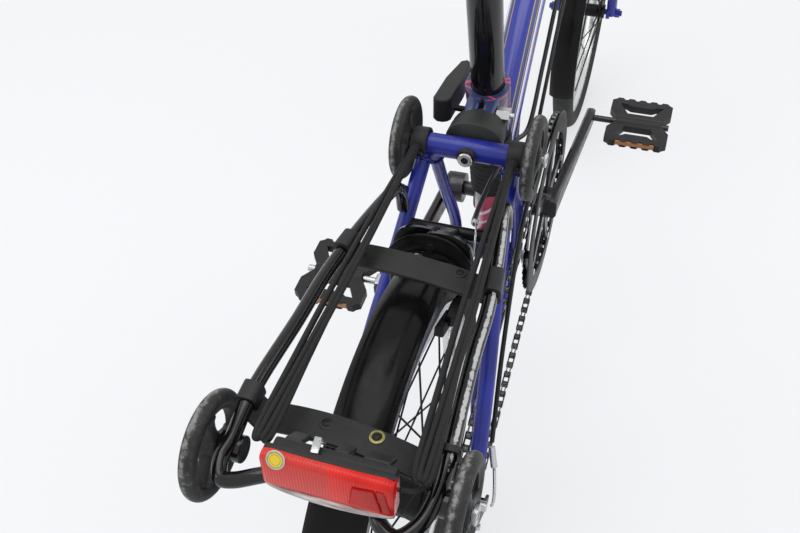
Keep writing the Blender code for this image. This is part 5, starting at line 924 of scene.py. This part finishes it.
BLADE_NYLON = sprayed_enamel("gloss_black_blade_nylon", "#0A0A0B", "#111112", 0.2, 0.0, 0.14)
rear_blade = mudguard(0.229, 0.0228, 0.0005, REAR_AXLE, 63, 153, 110)
front_blade = mudguard(0.2215, 0.0200, 0.0, FRONT_AXLE, 38, 196, 150)
piece("rear_mudguard_blade", [(rear_blade, BLADE_NYLON)], "rear_frame", ["rear_mudguard"])
piece("front_mudguard_blade", [(front_blade, BLADE_NYLON)], "steering", ["front_mudguard"])


# Rear light: a black nylon housing behind the rack and a wide lens of red acrylic, ribbed inside.
# A deep red cell near its right end holds the lamp, a clear rim runs along its foot, and a yellow paper
# dot sticks on its upper left corner. The plastic parts are injection-moulded and snapped together.
DOT_RADIUS = 0.0064


def red_lens():
    """Red acrylic: glossy, with a painted glow, as it emits its own colour at strength 0.12, with upright
    ribs 2 mm apart, paler at the left end.

    The ribs' height is sin(2 pi y / 2 mm); their flanks carry painted shade, which makes the lens look thick."""
    # Painted glow: the lens emits its own colour at strength 0.12, though no lamp is lit in it.
    made, own, shader, place_on = finish("red_acrylic", "#C81A14", 0.22, 0.3, Emission_Strength=0.12)
    sideways = add_node(own, "SeparateXYZ", Vector=place_on, out="Y")
    turns = add_node(own, "Math", {"operation": "MULTIPLY"}, i0=sideways, i1=2 * math.pi / 0.0020)
    wave = add_node(own, "Math", {"operation": "SINE"}, i0=turns)
    left = add_node(own, "MapRange", i0=sideways, i1=-0.057, i2=0.030, i3=0, i4=1)
    shade = add_node(own, "ValToRGB", Fac=left,
                     stops=((0.0, "#A80A05"), (0.16, "#CC1C0E"), (0.30, "#C4140B"), (0.50, "#D42A1E"),
                            (0.54, "#C2332B"), (1.0, "#C6322A")))
    # Painted shade: this share darkens the ribs' flanks towards #84100E.
    groove = add_node(own, "MapRange", i0=wave, i1=-1, i2=1, i3=0, i4=0.22)
    lines = add_node(own, "Mix", {"data_type": "RGBA"}, out=2, i0=groove, i6=shade, i7=linear("#84100E"))
    feed(shader, Base_Color=lines, Emission_Color=lines,
         Normal=add_node(own, "Bump", Height=wave, Distance=0.0003, Strength=0.3))
    return made


RED_LENS = red_lens()


def clear_rim():
    """Clear acrylic: pale pinkish grey, with bright and dark streaks along y where it bends the light."""
    made, own, shader, place_on = finish("clear_acrylic", "#C9B9B6", 0.12, Coat_Weight=0.6)
    drawn_out = add_node(own, "Mapping", Vector=place_on, Scale=(1.0, 0.12, 1.0))
    streaks = add_node(own, "TexNoise", Vector=drawn_out, Scale=MM / 3, Detail=3.0)
    waves = add_node(own, "TexNoise", Vector=place_on, Scale=MM / 6, Detail=3.0)
    colours = add_node(own, "ValToRGB", Fac=streaks,
                       stops=((0.35, "#7C706E"), (0.55, "#B5A8A5"), (0.7, "#DDD7D5")))
    uneven = add_node(own, "Bump", Height=waves, Distance=0.0003, Strength=0.3)
    feed(shader, Base_Color=colours, Normal=uneven)
    return made


def sticker_paper(middle):
    """A round paper dot: yellow with a pale ring printed round it; its soiled edges look handled."""
    made, own, shader, place_on = finish("yellow_dot_paper", "#E3C62A", 0.5)
    out_by = add_node(own, "VectorMath", {"operation": "DISTANCE"}, out="Value", i0=place_on,
                      i1=tuple(middle))
    share = add_node(own, "MapRange", i0=out_by, i1=0, i2=DOT_RADIUS, i3=0, i4=1)
    grain = add_node(own, "TexNoise", Vector=place_on, Scale=MM / 1.5, Detail=3.0)
    soiling = add_node(own, "MapRange", i0=grain, i1=0.3, i2=0.7, i3=-0.05, i4=0.05)
    uneven = add_node(own, "Math", {"operation": "ADD"}, i0=share, i1=soiling)
    rings = add_node(own, "ValToRGB", {"interpolation": "CONSTANT"}, Fac=uneven,
                     stops=((0.0, "#A08A1E"), (0.16, "#DCC22C"), (0.52, "#B79B1E"), (0.60, "#DCC22C"),
                            (0.74, "#8B897C"), (0.86, "#B9B6A6")))
    feed(shader, Base_Color=rings)
    return made


CLEAR_LENS = clear_rim()
lens_at = np.array((-0.1720, -0.0103, 0.4595))
lens_y = np.array((-0.0432, -0.0427, -0.0408, -0.0370, 0.0370, 0.0410, 0.0430, 0.0435))
lens_scale = np.array((0.84, 0.92, 0.97, 1, 1, 0.97, 0.92, 0.84))
lens = carried(lens_at + lens_y[:, None] * Y, rounded(0.0320, 0.0120, 0.0040), Z, lens_scale)
LAMP_CELL = sprayed_enamel("deep_red_lamp_cell", "#8E0502", "#B81406", 0.2, 0.0, 0.25)
cell_at = lens_at - Y * 0.0285
facet = raised([(-0.0140, -0.0095), (-0.0112, 0.0080), (0.0030, 0.0098), (0.0072, -0.0100)],
               cell_at - X * 0.0062, -Y, Z, -0.0004, 0.0011, 0.0010)
flank = raised([(0.0078, -0.0098), (0.0038, 0.0100), (0.0092, 0.0098), (0.0128, -0.0090)],
               cell_at - X * 0.0060, -Y, Z, -0.0004, 0.0009, 0.0006)
piece("rear_light_red_lens", [(lens, RED_LENS), (facet, LAMP_CELL), (flank, LAMP_CELL)], "rear_frame",
      ["rear_light_lens"])
RIM_REACH = 0.0425
rim_y = np.linspace(-RIM_REACH, RIM_REACH, 33)
bulge = np.cos(rim_y / RIM_REACH * math.pi / 2) ** 0.6
foot_line = lens_at + rim_y[:, None] * Y - Z * (0.0148 + 0.0026 * bulge)[:, None] - X * 0.0016
foot_rim = carried(foot_line, rounded(0.0056, 0.0116, 0.0020), Z, 0.55 + 0.45 * bulge)
top_line = lens_at + rim_y[:, None] * Y + Z * (0.0153 + 0.0002 * bulge)[:, None] + X * 0.0026
top_rim = carried(top_line, rounded(0.0018, 0.0050, 0.0008), Z, 0.7 + 0.3 * bulge)
piece("rear_light_clear_rims", [(foot_rim, CLEAR_LENS), (top_rim, NYLON)], "rear_frame")
dot_at = lens_at + Y * 0.0320 + Z * 0.0140 - X * 0.0052
dot = turned([(0, 0.0058), (0.0004, DOT_RADIUS), (0.0008, 0.0062), (0.0009, 0.0002)], dot_at,
             (-0.88, 0.0, 0.48), 40)
piece("rear_light_dot", [(dot, sticker_paper(dot_at))], "rear_frame")
shell_y = lens_at[1] + np.array((-0.0405, -0.0400, -0.0380, 0.0380, 0.0400, 0.0405))
shell_mid = np.stack((np.full(6, -0.1612), shell_y, np.full(6, 0.4578)), -1)
shell_scale = (0.90, 0.96, 1, 1, 0.96, 0.90)
back_shell = carried(shell_mid, rounded(0.0260, 0.0080, 0.0025), Z, shell_scale)
piece("rear_light_back_shell", [(back_shell, NYLON)], "rear_frame", ["rear_light_housing"])


# Light bracket: black nylon lugs and a bent zinc strip hold the housing on the rack plate.
# The light's rubber lead leaves the housing's right end and goes in behind the rack rail.
lugs = []
for y, wide in ((0.0190, 0.0120), (-0.0130, 0.0100), (-0.0360, 0.0180)):
    lug_path = [(-0.1655, y, 0.4640), (-0.1560, y, 0.4670), (-0.1450, y, 0.4580)]
    lugs.append((carried(lug_path, rounded(wide, 0.0040, 0.0015), Y), NYLON))
strip_path = [(-0.1660, 0.0010, 0.4740), (-0.1600, 0.0016, 0.4752), (-0.1540, 0.0030, 0.4730),
              (-0.1500, 0.0030, 0.4640)]
strip = carried(strip_path, rounded(0.0052, 0.0014, 0.0006), Y)
lead_knots = [(-0.1640, -0.0530, 0.4560), (-0.1600, -0.0620, 0.4530), (-0.1500, -0.0660, 0.4480),
              (-0.1380, -0.0640, 0.4430)]
lead = carried(route(lead_knots, 40), circle(0.0016, 12), Z)
piece("rear_light_bracket", [*lugs, (strip, STEEL), (lead, RUBBER)], "rear_frame")


# Brakes: two forged alloy arms, gloss black, arch over the tyre on one bolt; rubber blocks reach the rim.
# Each arm's outline is a smooth curve; a bright nut and washer hold it, and a return spring lies behind.
BRAKE_ARM = [(-0.0090, -0.0060), (-0.0130, 0.0080), (-0.0110, 0.0230), (-0.0020, 0.0340), (0.0180, 0.0365),
             (0.0450, 0.0350), (0.0650, 0.0300), (0.0700, 0.0235), (0.0650, 0.0190), (0.0480, 0.0225),
             (0.0360, 0.0285), (0.0230, 0.0285), (0.0150, 0.0245), (0.0126, 0.0180), (0.0124, 0.0080),
             (0.0126, -0.0060)]
OUTLINE_REACH = 0.0705
PAD_CIRCLE = 0.1735
PAD_OUT = 0.0180


def brake_arms(prefix, pivot, axle, ahead_sign):
    """Arms in the plane square to the bolt: an outline's first value runs down, its second sideways.

    The first value is stretched so that the blocks meet the rim, PAD_CIRCLE from the axle."""
    down = unit(axle - pivot)
    facing = np.cross(down, Y) * ahead_sign
    reach = np.linalg.norm(axle - pivot) - PAD_CIRCLE
    for side, label, layer in ((1, "left", 0.0002), (-1, "right", -0.0072)):
        outline = route(np.array(BRAKE_ARM), 110, cyclic=True)
        outline[:, 0] *= reach / OUTLINE_REACH
        flip = 1 if np.dot(np.cross(down, Y * side), facing) > 0 else -1
        low, high = sorted((layer * flip, (layer + 0.0070) * flip))
        arm = raised(outline, pivot, down, Y * side, low, high, 0.0012)
        pad_at = pivot + down * reach + Y * side * PAD_OUT
        pad_path = [pad_at + facing * reach_on for reach_on in (-0.0195, -0.0185, 0.0185, 0.0195)]
        pad = carried(pad_path, rounded(0.0088, 0.0098, 0.0018), Y, (0.88, 1, 1, 0.88))
        arm_name = f"{prefix}_brake_arm_{label}"
        piece(arm_name + "_forging", [(arm, BLACK_ENAMEL), (pad, RUBBER)], arm_name, [arm_name])


FRONT_BRAKE = np.array((0.9564, 0, 0.4806))
brake_arms("rear", REAR_BRAKE, REAR_AXLE, 1)
brake_arms("front", FRONT_BRAKE, FRONT_AXLE, -1)
nut_face = REAR_BRAKE + brake_back * 0.0075
washer = disc(nut_face, brake_back, 0.0075, 0.0, 0.0010)
nut = disc(nut_face, brake_back, 0.0050, 0.0010, 0.0040, 6, 0.0006)
spring_turn = np.linspace(-0.35, math.pi + 0.35, 40)
spring_out = np.stack((0.0125 * np.sin(spring_turn), 0.020 * np.cos(spring_turn)), -1)
spring = (REAR_BRAKE - brake_back * 0.0092 - unit(REAR_BRAKE - REAR_AXLE) * 0.004
          + spring_out[:, :1] * unit(REAR_BRAKE - REAR_AXLE) + spring_out[:, 1:] * Y)
sweep = np.linspace(-1, 1, 41)
down_way = unit(REAR_AXLE - REAR_BRAKE)
# A black cover bows over the bolt, as the photograph shows from behind.
cover_line = (REAR_BRAKE + brake_back * 0.0098 + sweep[:, None] * 0.0335 * Y
              + (-0.0030 + 0.0150 * np.abs(sweep) ** 2.4)[:, None] * down_way)
cover = carried(cover_line, rounded(0.0150, 0.0034, 0.0012), down_way, 1.0 - 0.45 * np.abs(sweep) ** 3)
spring_wire = carried(spring, circle(0.0011, 10), X)
piece("rear_brake_fittings", [(washer, BLACK_ALLOY), (nut, BLACK_ALLOY), (cover, BLADE_NYLON),
                              (spring_wire, STEEL)], "rear_frame")


# Wheels: small wheels with black tyres, silver box rims of extruded aluminium and black wire spokes.
# The tread has shallow grooves; each spoke ends in a nickel nipple.
def tread_rubber():
    """Tyre rubber: matt black, grey with dust, with slanted grooves 5 mm apart that break up its light.

    The grooves' height is sin(a + 900 |y|), where a turns 250 times round the tyre."""
    made, own, shader, place_on = finish("tyre_rubber", "#1E1E1E", 0.8)
    sideways = add_node(own, "SeparateXYZ", Vector=place_on, out="Y")
    fold = add_node(own, "Math", {"operation": "ABSOLUTE"}, i0=sideways)
    around = add_node(own, "SeparateXYZ", Vector=add_node(own, "TexCoord", out="UV"))
    turns = add_node(own, "Math", {"operation": "MULTIPLY"}, i0=around, i1=250 * 2 * math.pi)
    slant = add_node(own, "Math", {"operation": "MULTIPLY"}, i0=fold, i1=900.0)
    both = add_node(own, "Math", {"operation": "ADD"}, i0=turns, i1=slant)
    groove = add_node(own, "Math", {"operation": "SINE"}, i0=both)
    dust = add_node(own, "TexNoise", Vector=place_on, Scale=MM / 14, Detail=6.0, Roughness=0.65)
    colours = add_node(own, "ValToRGB", stops=((0.4, "#1A1A1A"), (0.7, "#30302F")), Fac=dust)
    tread = add_node(own, "Bump", Height=groove, Distance=0.0006, Strength=0.5)
    feed(shader, Base_Color=colours, Normal=tread)
    return made


TYRE_RUBBER = tread_rubber()
RIM_HALF_WIDTH = 0.0108
RIM_EDGE = 0.1805
TYRE_HALF_WIDTH = 0.0175
SPOKE_END = 0.1586
SPOKE_LEAD = math.radians(58)


def tyre_rings(centre):
    """A tyre's section, an arch from bead to bead with a flattened crown, turned round the axle."""
    share = np.linspace(0, math.pi, 33)
    half_width = TYRE_HALF_WIDTH * np.sign(np.cos(share)) * np.abs(np.cos(share)) ** 0.85
    out = RIM_EDGE + 0.0115 + TYRE_HALF_WIDTH * np.sin(share) ** 0.9
    bead = [(0.0090, RIM_EDGE - 0.012), (0.0090, RIM_EDGE + 0.0004)]
    arch = np.stack((half_width, out), -1)
    profile = np.vstack((bead, arch, [(-a, r) for a, r in reversed(bead)]))
    return turned(profile, centre, Y, 144)


def rim_rings(centre):
    """Box rim: side walls, a well for the tyre and a rounded spoke bed."""
    w = RIM_HALF_WIDTH
    bed = np.linspace(0, math.pi, 13)
    well = [(w - 0.0013, RIM_EDGE - 0.0005), (w - 0.0013, RIM_EDGE - 0.0128),
            (-w + 0.0013, RIM_EDGE - 0.0128), (-w + 0.0013, RIM_EDGE - 0.0005), (-w + 0.0007, RIM_EDGE),
            (-w, RIM_EDGE - 0.0006)]
    under = np.stack((-w * np.cos(bed), RIM_EDGE - 0.0155 - 0.0060 * np.sin(bed) ** 0.8), -1)
    return turned(np.vstack((well, under, [(w, RIM_EDGE - 0.0006), (w - 0.0007, RIM_EDGE)])), centre, Y, 144)


def wheel(label, centre, body, count, shell_radius, flange, flange_y, stub):
    """Hub, spokes in crossing pairs and their nipples, tyre, rim and valve.

    A spoke starts on its flange SPOKE_LEAD ahead of or behind the angle at which it meets the rim."""
    half = flange_y + 0.0080
    hub = turned([(-half, 0.0054), (-half, flange * 0.62), (-flange_y - 0.004, flange * 0.70),
                  (-flange_y - 0.0024, flange), (-flange_y + 0.0010, flange),
                  (-flange_y + 0.005, shell_radius), (flange_y - 0.005, shell_radius),
                  (flange_y - 0.0010, flange), (flange_y + 0.0024, flange),
                  (flange_y + 0.004, flange * 0.70), (half, flange * 0.62), (half, 0.0054)], centre, Y, 64)
    parts = [(hub, BLACK_ALLOY, True)]
    if stub:
        driver = turned([(stub, 0.0054), (stub, 0.0150), (-half, 0.0150), (-half, 0.0054)], centre, Y, 48)
        parts.append((driver, STEEL, True))
    for index in range(count):
        side = 1 if index % 2 else -1
        lead = 1 if (index // 2) % 2 else -1
        rim_angle = 2 * math.pi * index / count
        hub_angle = rim_angle + lead * SPOKE_LEAD
        root = flange - 0.0030
        hub_y = side * (flange_y + 0.0014 * lead)
        start = centre + np.array((math.cos(hub_angle) * root, hub_y, math.sin(hub_angle) * root))
        end = centre + np.array((math.cos(rim_angle) * SPOKE_END, side * 0.0025,
                                 math.sin(rim_angle) * SPOKE_END))
        reach = end - start
        parts.append((carried([start, end], circle(0.0010, 8), Y), DARK_STEEL))
        nipple = [end - reach * 0.075, end - reach * 0.070, end + unit(reach) * 0.0005]
        parts.append((carried(nipple, circle(0.0019, 8), Y, (0.7, 1, 1)), STEEL))
    piece(f"{label}_hub_and_wire_spokes", parts, body, [f"{label}_hub_and_spokes"])
    piece(f"{label}_tyre_casing", [(tyre_rings(centre), TYRE_RUBBER, True)], body, [f"{label}_tyre"],
          60)
    valve = disc(centre, (math.cos(0.11), 0, math.sin(0.11)), 0.0026, 0.1260, 0.1600, 20)
    piece(f"{label}_rim_extrusion", [(rim_rings(centre), ALLOY, True), (valve, ALLOY)], body,
          [f"{label}_rim"])


wheel("rear", REAR_AXLE, "rear_wheel", 28, 0.029, 0.038, 0.026, -0.0525)
wheel("front", FRONT_AXLE, "front_wheel", 20, 0.011, 0.019, 0.026, 0.0)


# Chain drive: a roller chain of half-inch links runs over the chainring, the sprocket and two jockey wheels.
# Outer plates are dark, inner plates and rollers bright; every plate is stamped steel with waisted sides.
PITCH = 0.0127
CHAIN_Y = -0.0495
GUIDE_PULLEY = TENSIONER_PIVOT
TENSION_PULLEY = np.array((0.0702, 0, 0.1106))
TENSION_ARM = 0.062
ARM_START = math.radians(-130)
ARM_END = math.radians(-15)
CHAIN_LINKS = 98
RING_TEETH = 50
SPROCKET_TEETH = 13
JOCKEY_TEETH = 11


def wheel_radius(teeth):
    """Radius at which whole pitches go round a wheel: teeth x pitch / 2 pi."""
    return teeth * PITCH / (2 * math.pi)


def drive_path(arm_angle):
    """Straight runs and arcs of the chain round its four wheels.

    Each is (length, start, end, centre, radius, sense, first angle). A straight run is the common tangent of
    two wheels: the line between their centres, turned by the angle whose sine is change of radius / gap."""
    tension = complex(GUIDE_PULLEY[0], GUIDE_PULLEY[2]) + TENSION_ARM * np.exp(1j * arm_angle)
    wheels = [(complex(BOTTOM_BRACKET[0], BOTTOM_BRACKET[2]), wheel_radius(RING_TEETH), 1),
              (complex(0, REAR_AXLE[2]), wheel_radius(SPROCKET_TEETH), 1),
              (complex(GUIDE_PULLEY[0], GUIDE_PULLEY[2]), wheel_radius(JOCKEY_TEETH), -1),
              (tension, wheel_radius(JOCKEY_TEETH), 1)]
    legs = []
    for k, (centre, radius, sense) in enumerate(wheels):
        next_centre, next_radius, next_sense = wheels[(k + 1) % 4]
        gap = next_centre - centre
        change = next_sense * next_radius - sense * radius
        heading = gap / complex(math.sqrt(abs(gap) ** 2 - change ** 2), change)
        heading /= abs(heading)
        side = -1j * heading
        legs.append((centre + sense * radius * side, next_centre + next_sense * next_radius * side, side))
    runs = []
    for k, (start, end, side) in enumerate(legs):
        runs.append((abs(end - start), start, end, 0, 0, 0, 0))
        centre, radius, sense = wheels[(k + 1) % 4]
        next_side = legs[(k + 1) % 4][2]
        first = np.angle(sense * side)
        turn = (np.angle(sense * next_side) - first) * sense % (2 * math.pi)
        runs.append((turn * radius, 0, 0, centre, radius, sense, first))
    return wheels, runs


def point_on(runs, distance):
    """The point at a distance along the chain: each run's length is taken off until a run holds the rest."""
    for length, start, end, centre, radius, sense, first in runs:
        if distance <= length:
            if radius:
                return centre + radius * np.exp(1j * (first + sense * distance / radius))
            return start + (end - start) * distance / length
        distance -= length
    return point_on(runs, distance)


# The tensioner's angle is halved in until the chain's length is a whole number of pitches.
low_angle = ARM_START
high_angle = ARM_END
for _ in range(60):
    arm_angle = (low_angle + high_angle) / 2
    wheels, runs = drive_path(arm_angle)
    if sum(run[0] for run in runs) > CHAIN_LINKS * PITCH:
        low_angle = arm_angle
    else:
        high_angle = arm_angle
pins = [point_on(runs, k * PITCH % (CHAIN_LINKS * PITCH)) for k in range(CHAIN_LINKS)]
# Each wheel's teeth stand half a pitch from a pin that lies on it.
phases = []
for centre, radius, _ in wheels:
    held = [p for p in pins if abs(abs(p - centre) - radius) < 2e-5]
    phases.append(float(np.angle(held[len(held) // 2] - centre)))

waist = np.radians(np.linspace(-118, 118, 9))
round_end = np.stack((PITCH / 2 + 0.0040 * np.cos(waist), 0.0040 * np.sin(waist)), -1)
link_outline = np.vstack((round_end, [(0.0016, 0.0029), (-0.0016, 0.0029)],
                          -round_end, [(-0.0016, -0.0029), (0.0016, -0.0029)]))
CHAIN_STEEL = plated("oiled_chain_steel", "#4E4F4E", "#8E908D", 0.34)
chain_parts = []
for k, start in enumerate(pins):
    end = pins[(k + 1) % CHAIN_LINKS]
    middle = (start + end) / 2
    heading = (end - start) / abs(end - start)
    origin = np.array((middle.real, CHAIN_Y, middle.imag))
    along = np.array((heading.real, 0, heading.imag))
    upward = np.array((-heading.imag, 0, heading.real))
    outer = k % 2
    inside, outside = (0.0026, 0.0036) if outer else (0.0015, 0.0025)
    for sign in (1, -1):
        low, high = sorted((inside * sign, outside * sign))
        plate = raised(link_outline, origin, along, upward, low, high, 0.0002)
        chain_parts.append((plate, DARK_STEEL if outer else CHAIN_STEEL))
    at = np.array((start.real, CHAIN_Y, start.imag))
    chain_parts.append((disc(at, Y, 0.0038, -0.0014, 0.0014, 12, 0.0002), CHAIN_STEEL))
    chain_parts.append((disc(at, Y, 0.0017, -0.0040, 0.0040, 10, 0.0003), CHAIN_STEEL))
piece("roller_chain", chain_parts, "rear_frame", ["chain"])


def tooth_outline(teeth, phase, root_drop, tip_rise, root_width, tip_width):
    """Teeth between the pins: each goes root, flank, rounded tip, flank, root.

    Widths are measured round the wheel: the angle is the tooth's middle + width / (2 radius)."""
    radius = wheel_radius(teeth)
    shape = np.array([(-root_drop, -root_width), (-root_drop * 0.2, -root_width * 0.72),
                      (tip_rise * 0.8, -tip_width * 1.1), (tip_rise, -tip_width * 0.5),
                      (tip_rise, tip_width * 0.5), (tip_rise * 0.8, tip_width * 1.1),
                      (-root_drop * 0.2, root_width * 0.72), (-root_drop, root_width)])
    middle = phase + (np.arange(teeth) + 0.5) * 2 * math.pi / teeth
    at = radius + np.tile(shape[:, 0], teeth)
    angle = np.repeat(middle, len(shape)) + np.tile(shape[:, 1], teeth) / (2 * radius)
    return np.stack((at * np.cos(angle), at * np.sin(angle)), -1)


def toothed_ring(centre, teeth, phase, bore_radius, *tooth):
    """A toothed outline joined to a round bore: six rings of equal count make faces, rim and bore."""
    outline = tooth_outline(teeth, phase, *tooth)
    angle = np.arctan2(outline[:, 1], outline[:, 0])
    inner = bore_radius * np.stack((np.cos(angle), np.sin(angle)), -1)
    rings = []
    for flat, y in ((outline, -0.0006), (outline, 0.0006), (outline * 0.985, 0.0010), (inner, 0.0010),
                    (inner, -0.0010), (outline * 0.985, -0.0010)):
        rings.append(np.stack((centre[0] + flat[:, 0], np.full(len(flat), CHAIN_Y + y),
                               centre[2] + flat[:, 1]), -1))
    return np.stack(rings)


CRANK_ANGLE = math.radians(6)
chainring = toothed_ring(BOTTOM_BRACKET, RING_TEETH, phases[0], 0.0800, 0.0050, 0.0034, 0.0060, 0.0018)
ring_parts = [(chainring, BLACK_ALLOY, True)]
ring_parts.append((turned([(-0.0568, 0.0832), (-0.0568, 0.1062), (-0.0562, 0.1070), (-0.0556, 0.1070),
                           (-0.0550, 0.1062), (-0.0550, 0.0832)], BOTTOM_BRACKET, Y, 144), NYLON, True))
for arm in range(5):
    for shift, size, low, high, material in ((0.5, 0.0045, -0.0560, CHAIN_Y, BLACK_ALLOY),
                                             (0.0, 0.0042, -0.0572, -0.0500, STEEL)):
        angle = CRANK_ANGLE + 2 * math.pi * (arm + shift) / 5
        at = BOTTOM_BRACKET + np.array((math.cos(angle), 0, math.sin(angle))) * (0.0885 if shift else 0.0835)
        ring_parts.append((disc(at, Y, size, low, high, 24), material))
piece("chainring_and_guard", ring_parts, "crankset", ["chainring"])
sprocket = toothed_ring(REAR_AXLE, SPROCKET_TEETH, phases[1], 0.0160, 0.0048, 0.0030, 0.0044, 0.0016)
piece("sprocket_plate", [(sprocket, STEEL, True)], "rear_sprocket", ["rear_sprocket"])
for label, phase, centre in (("guide_pulley", phases[2], GUIDE_PULLEY),
                             ("tension_pulley", phases[3], TENSION_PULLEY)):
    jockey = toothed_ring(centre, JOCKEY_TEETH, phase, 0.0042, 0.0048, 0.0030, 0.0040, 0.0016)
    piece(f"{label}_wheel", [(jockey, NYLON, True)], label, [label])
CRANK_ALLOY = plated("satin_black_crank_alloy", "#343436", "#4B4B4D", 0.34)
for drive_node, material in (("chain_tensioner", BLACK_ALLOY), ("crank_right", CRANK_ALLOY),
                             ("crank_left", CRANK_ALLOY)):
    dressed(drive_node, material, 0.0009, 40)


# Pedals: moulded nylon platforms on steel spindles, with amber reflectors let into their edges.
# The left one hangs on a hinge bracket and folds.
def amber_lens():
    """Reflector acrylic: amber, with a grid of small prisms 2 mm apart, which makes it glitter."""
    made, own, shader, place_on = finish("amber_reflector_acrylic", "#9A5A22", 0.2, Coat_Weight=0.5)
    prisms = add_node(own, "TexVoronoi", {"distance": "CHEBYCHEV"}, Vector=place_on, Scale=500.0,
                      Randomness=0.0)
    colours = add_node(own, "ValToRGB", stops=((0.0, "#B4702E"), (0.6, "#7C430F")), Fac=prisms)
    facets = add_node(own, "Bump", Height=prisms, Distance=0.0004, Strength=0.6)
    feed(shader, Base_Color=colours, Normal=facets)
    return made


AMBER = amber_lens()
for side_name in ("right", "left"):
    dressed(f"pedal_{side_name}", NYLON, 0.0007, 35)
    dressed(f"pedal_{side_name}_reflector", AMBER, 0.0004, 35)
dressed("pedal_left_bracket", STEEL, 0.0006, 40)


# Front half, fork and handlepost: steel tubes, brazed and sprayed in royal blue or gloss black enamel.
# They fold at the main hinge and under the bar, each held by a nylon clamp lever; the bar carries
# rubber grips, pushed on, and brake levers of polished aluminium.
dressed("front_frame", BLUE_ENAMEL, 0.0012, 45)
dressed("main_hinge_clamp", NYLON, 0.0012, 40)
dressed("fork", BLUE_ENAMEL, 0.0012, 48)
dressed("handlepost", BLACK_ENAMEL, 0.0010, 45)
dressed("handlepost_clamp", NYLON, 0.0010, 40)
dressed("handlebar", BLACK_ENAMEL, 0.0006, 50)
for side_name in ("left", "right"):
    dressed(f"grip_{side_name}", RUBBER, 0.0008, 45)
    dressed(f"brake_lever_{side_name}", ALLOY, 0.0006, 50)


# Cables: steel wire in a black plastic sleeve, along the frame in clips and free in a bow at the bar.
# The hub gear's little indicator chain hangs from a knurled adjuster.
SLEEVE = moulded("cable_sleeve", "#161617", "#222223", 0.38)
rear_brake = [(0.8330, 0.0900, 0.9950), (0.8600, 0.0500, 0.9300), (0.9300, 0.0260, 0.8300),
              (0.9650, 0.0230, 0.7200), (0.9300, -0.0300, 0.6200), (0.8600, -0.0350, 0.5500),
              (0.7900, -0.0480, 0.5200), (0.7000, -0.0300, 0.5300), (0.6000, -0.0270, 0.5250),
              (0.5000, -0.0270, 0.4920), (0.4250, -0.0270, 0.4300), (0.3550, -0.0290, 0.3950),
              (0.3000, -0.0250, 0.4080), (0.2450, -0.0200, 0.4120), (0.2000, -0.0180, 0.4130),
              (0.1500, -0.0200, 0.4190), (0.1200, -0.0280, 0.4400)]
front_brake = [(0.8330, -0.0900, 0.9950), (0.8700, -0.0500, 0.9300), (0.9400, -0.0280, 0.8300),
               (0.9850, -0.0250, 0.7200), (1.0000, -0.0250, 0.6200), (0.9920, -0.0250, 0.5400),
               (0.9750, -0.0250, 0.5080)]
gear = [(0.8150, -0.1400, 0.9800), (0.8500, -0.0700, 0.9000), (0.9200, -0.0420, 0.8000),
        (0.9500, -0.0400, 0.7000), (0.9150, -0.0420, 0.6000), (0.8500, -0.0480, 0.5350),
        (0.7900, -0.0560, 0.5080), (0.7000, -0.0360, 0.5180), (0.6000, -0.0330, 0.5130),
        (0.5050, -0.0330, 0.4800), (0.4300, -0.0330, 0.4180), (0.3650, -0.0350, 0.3650),
        (0.3100, -0.0500, 0.4050), (0.2500, -0.0560, 0.4100), (0.1700, -0.0590, 0.3900),
        (0.0900, -0.0655, 0.3250), (0.0350, -0.0720, 0.2600)]
for cable_name, knots, radius, body, length in (("rear_brake_cable", rear_brake, 0.0025, "main_frame", 1.343),
                                                ("front_brake_cable", front_brake, 0.0025, "steering", 0.547),
                                                ("gear_cable", gear, 0.0022, "main_frame", 1.493)):
    way = route(knots, 240)
    sleeve = piece(cable_name + "_sleeve", [(carried(way, circle(radius, 14), Y), SLEEVE)], body,
                   [cable_name])
sleeve_end = np.array(rear_brake[-1])
sleeve_way = unit(sleeve_end - np.array(rear_brake[-2]))
ferrule = turned([(-0.0110, 0.0028), (-0.0108, 0.0033), (-0.0004, 0.0033), (0.0, 0.0029), (0.0, 0.0008)],
                 sleeve_end, sleeve_way, 28)
wire = carried(route([sleeve_end - sleeve_way * 0.002, sleeve_end + sleeve_way * 0.008,
                      (0.0980, -0.0335, 0.4460), (0.0860, -0.0350, 0.4330)], 30), circle(0.0008, 8), Y)
piece("rear_brake_cable_end", [(ferrule, STEEL), (wire, STEEL)], "rear_frame")
dressed("indicator_chain", STEEL, 0.0, 50)
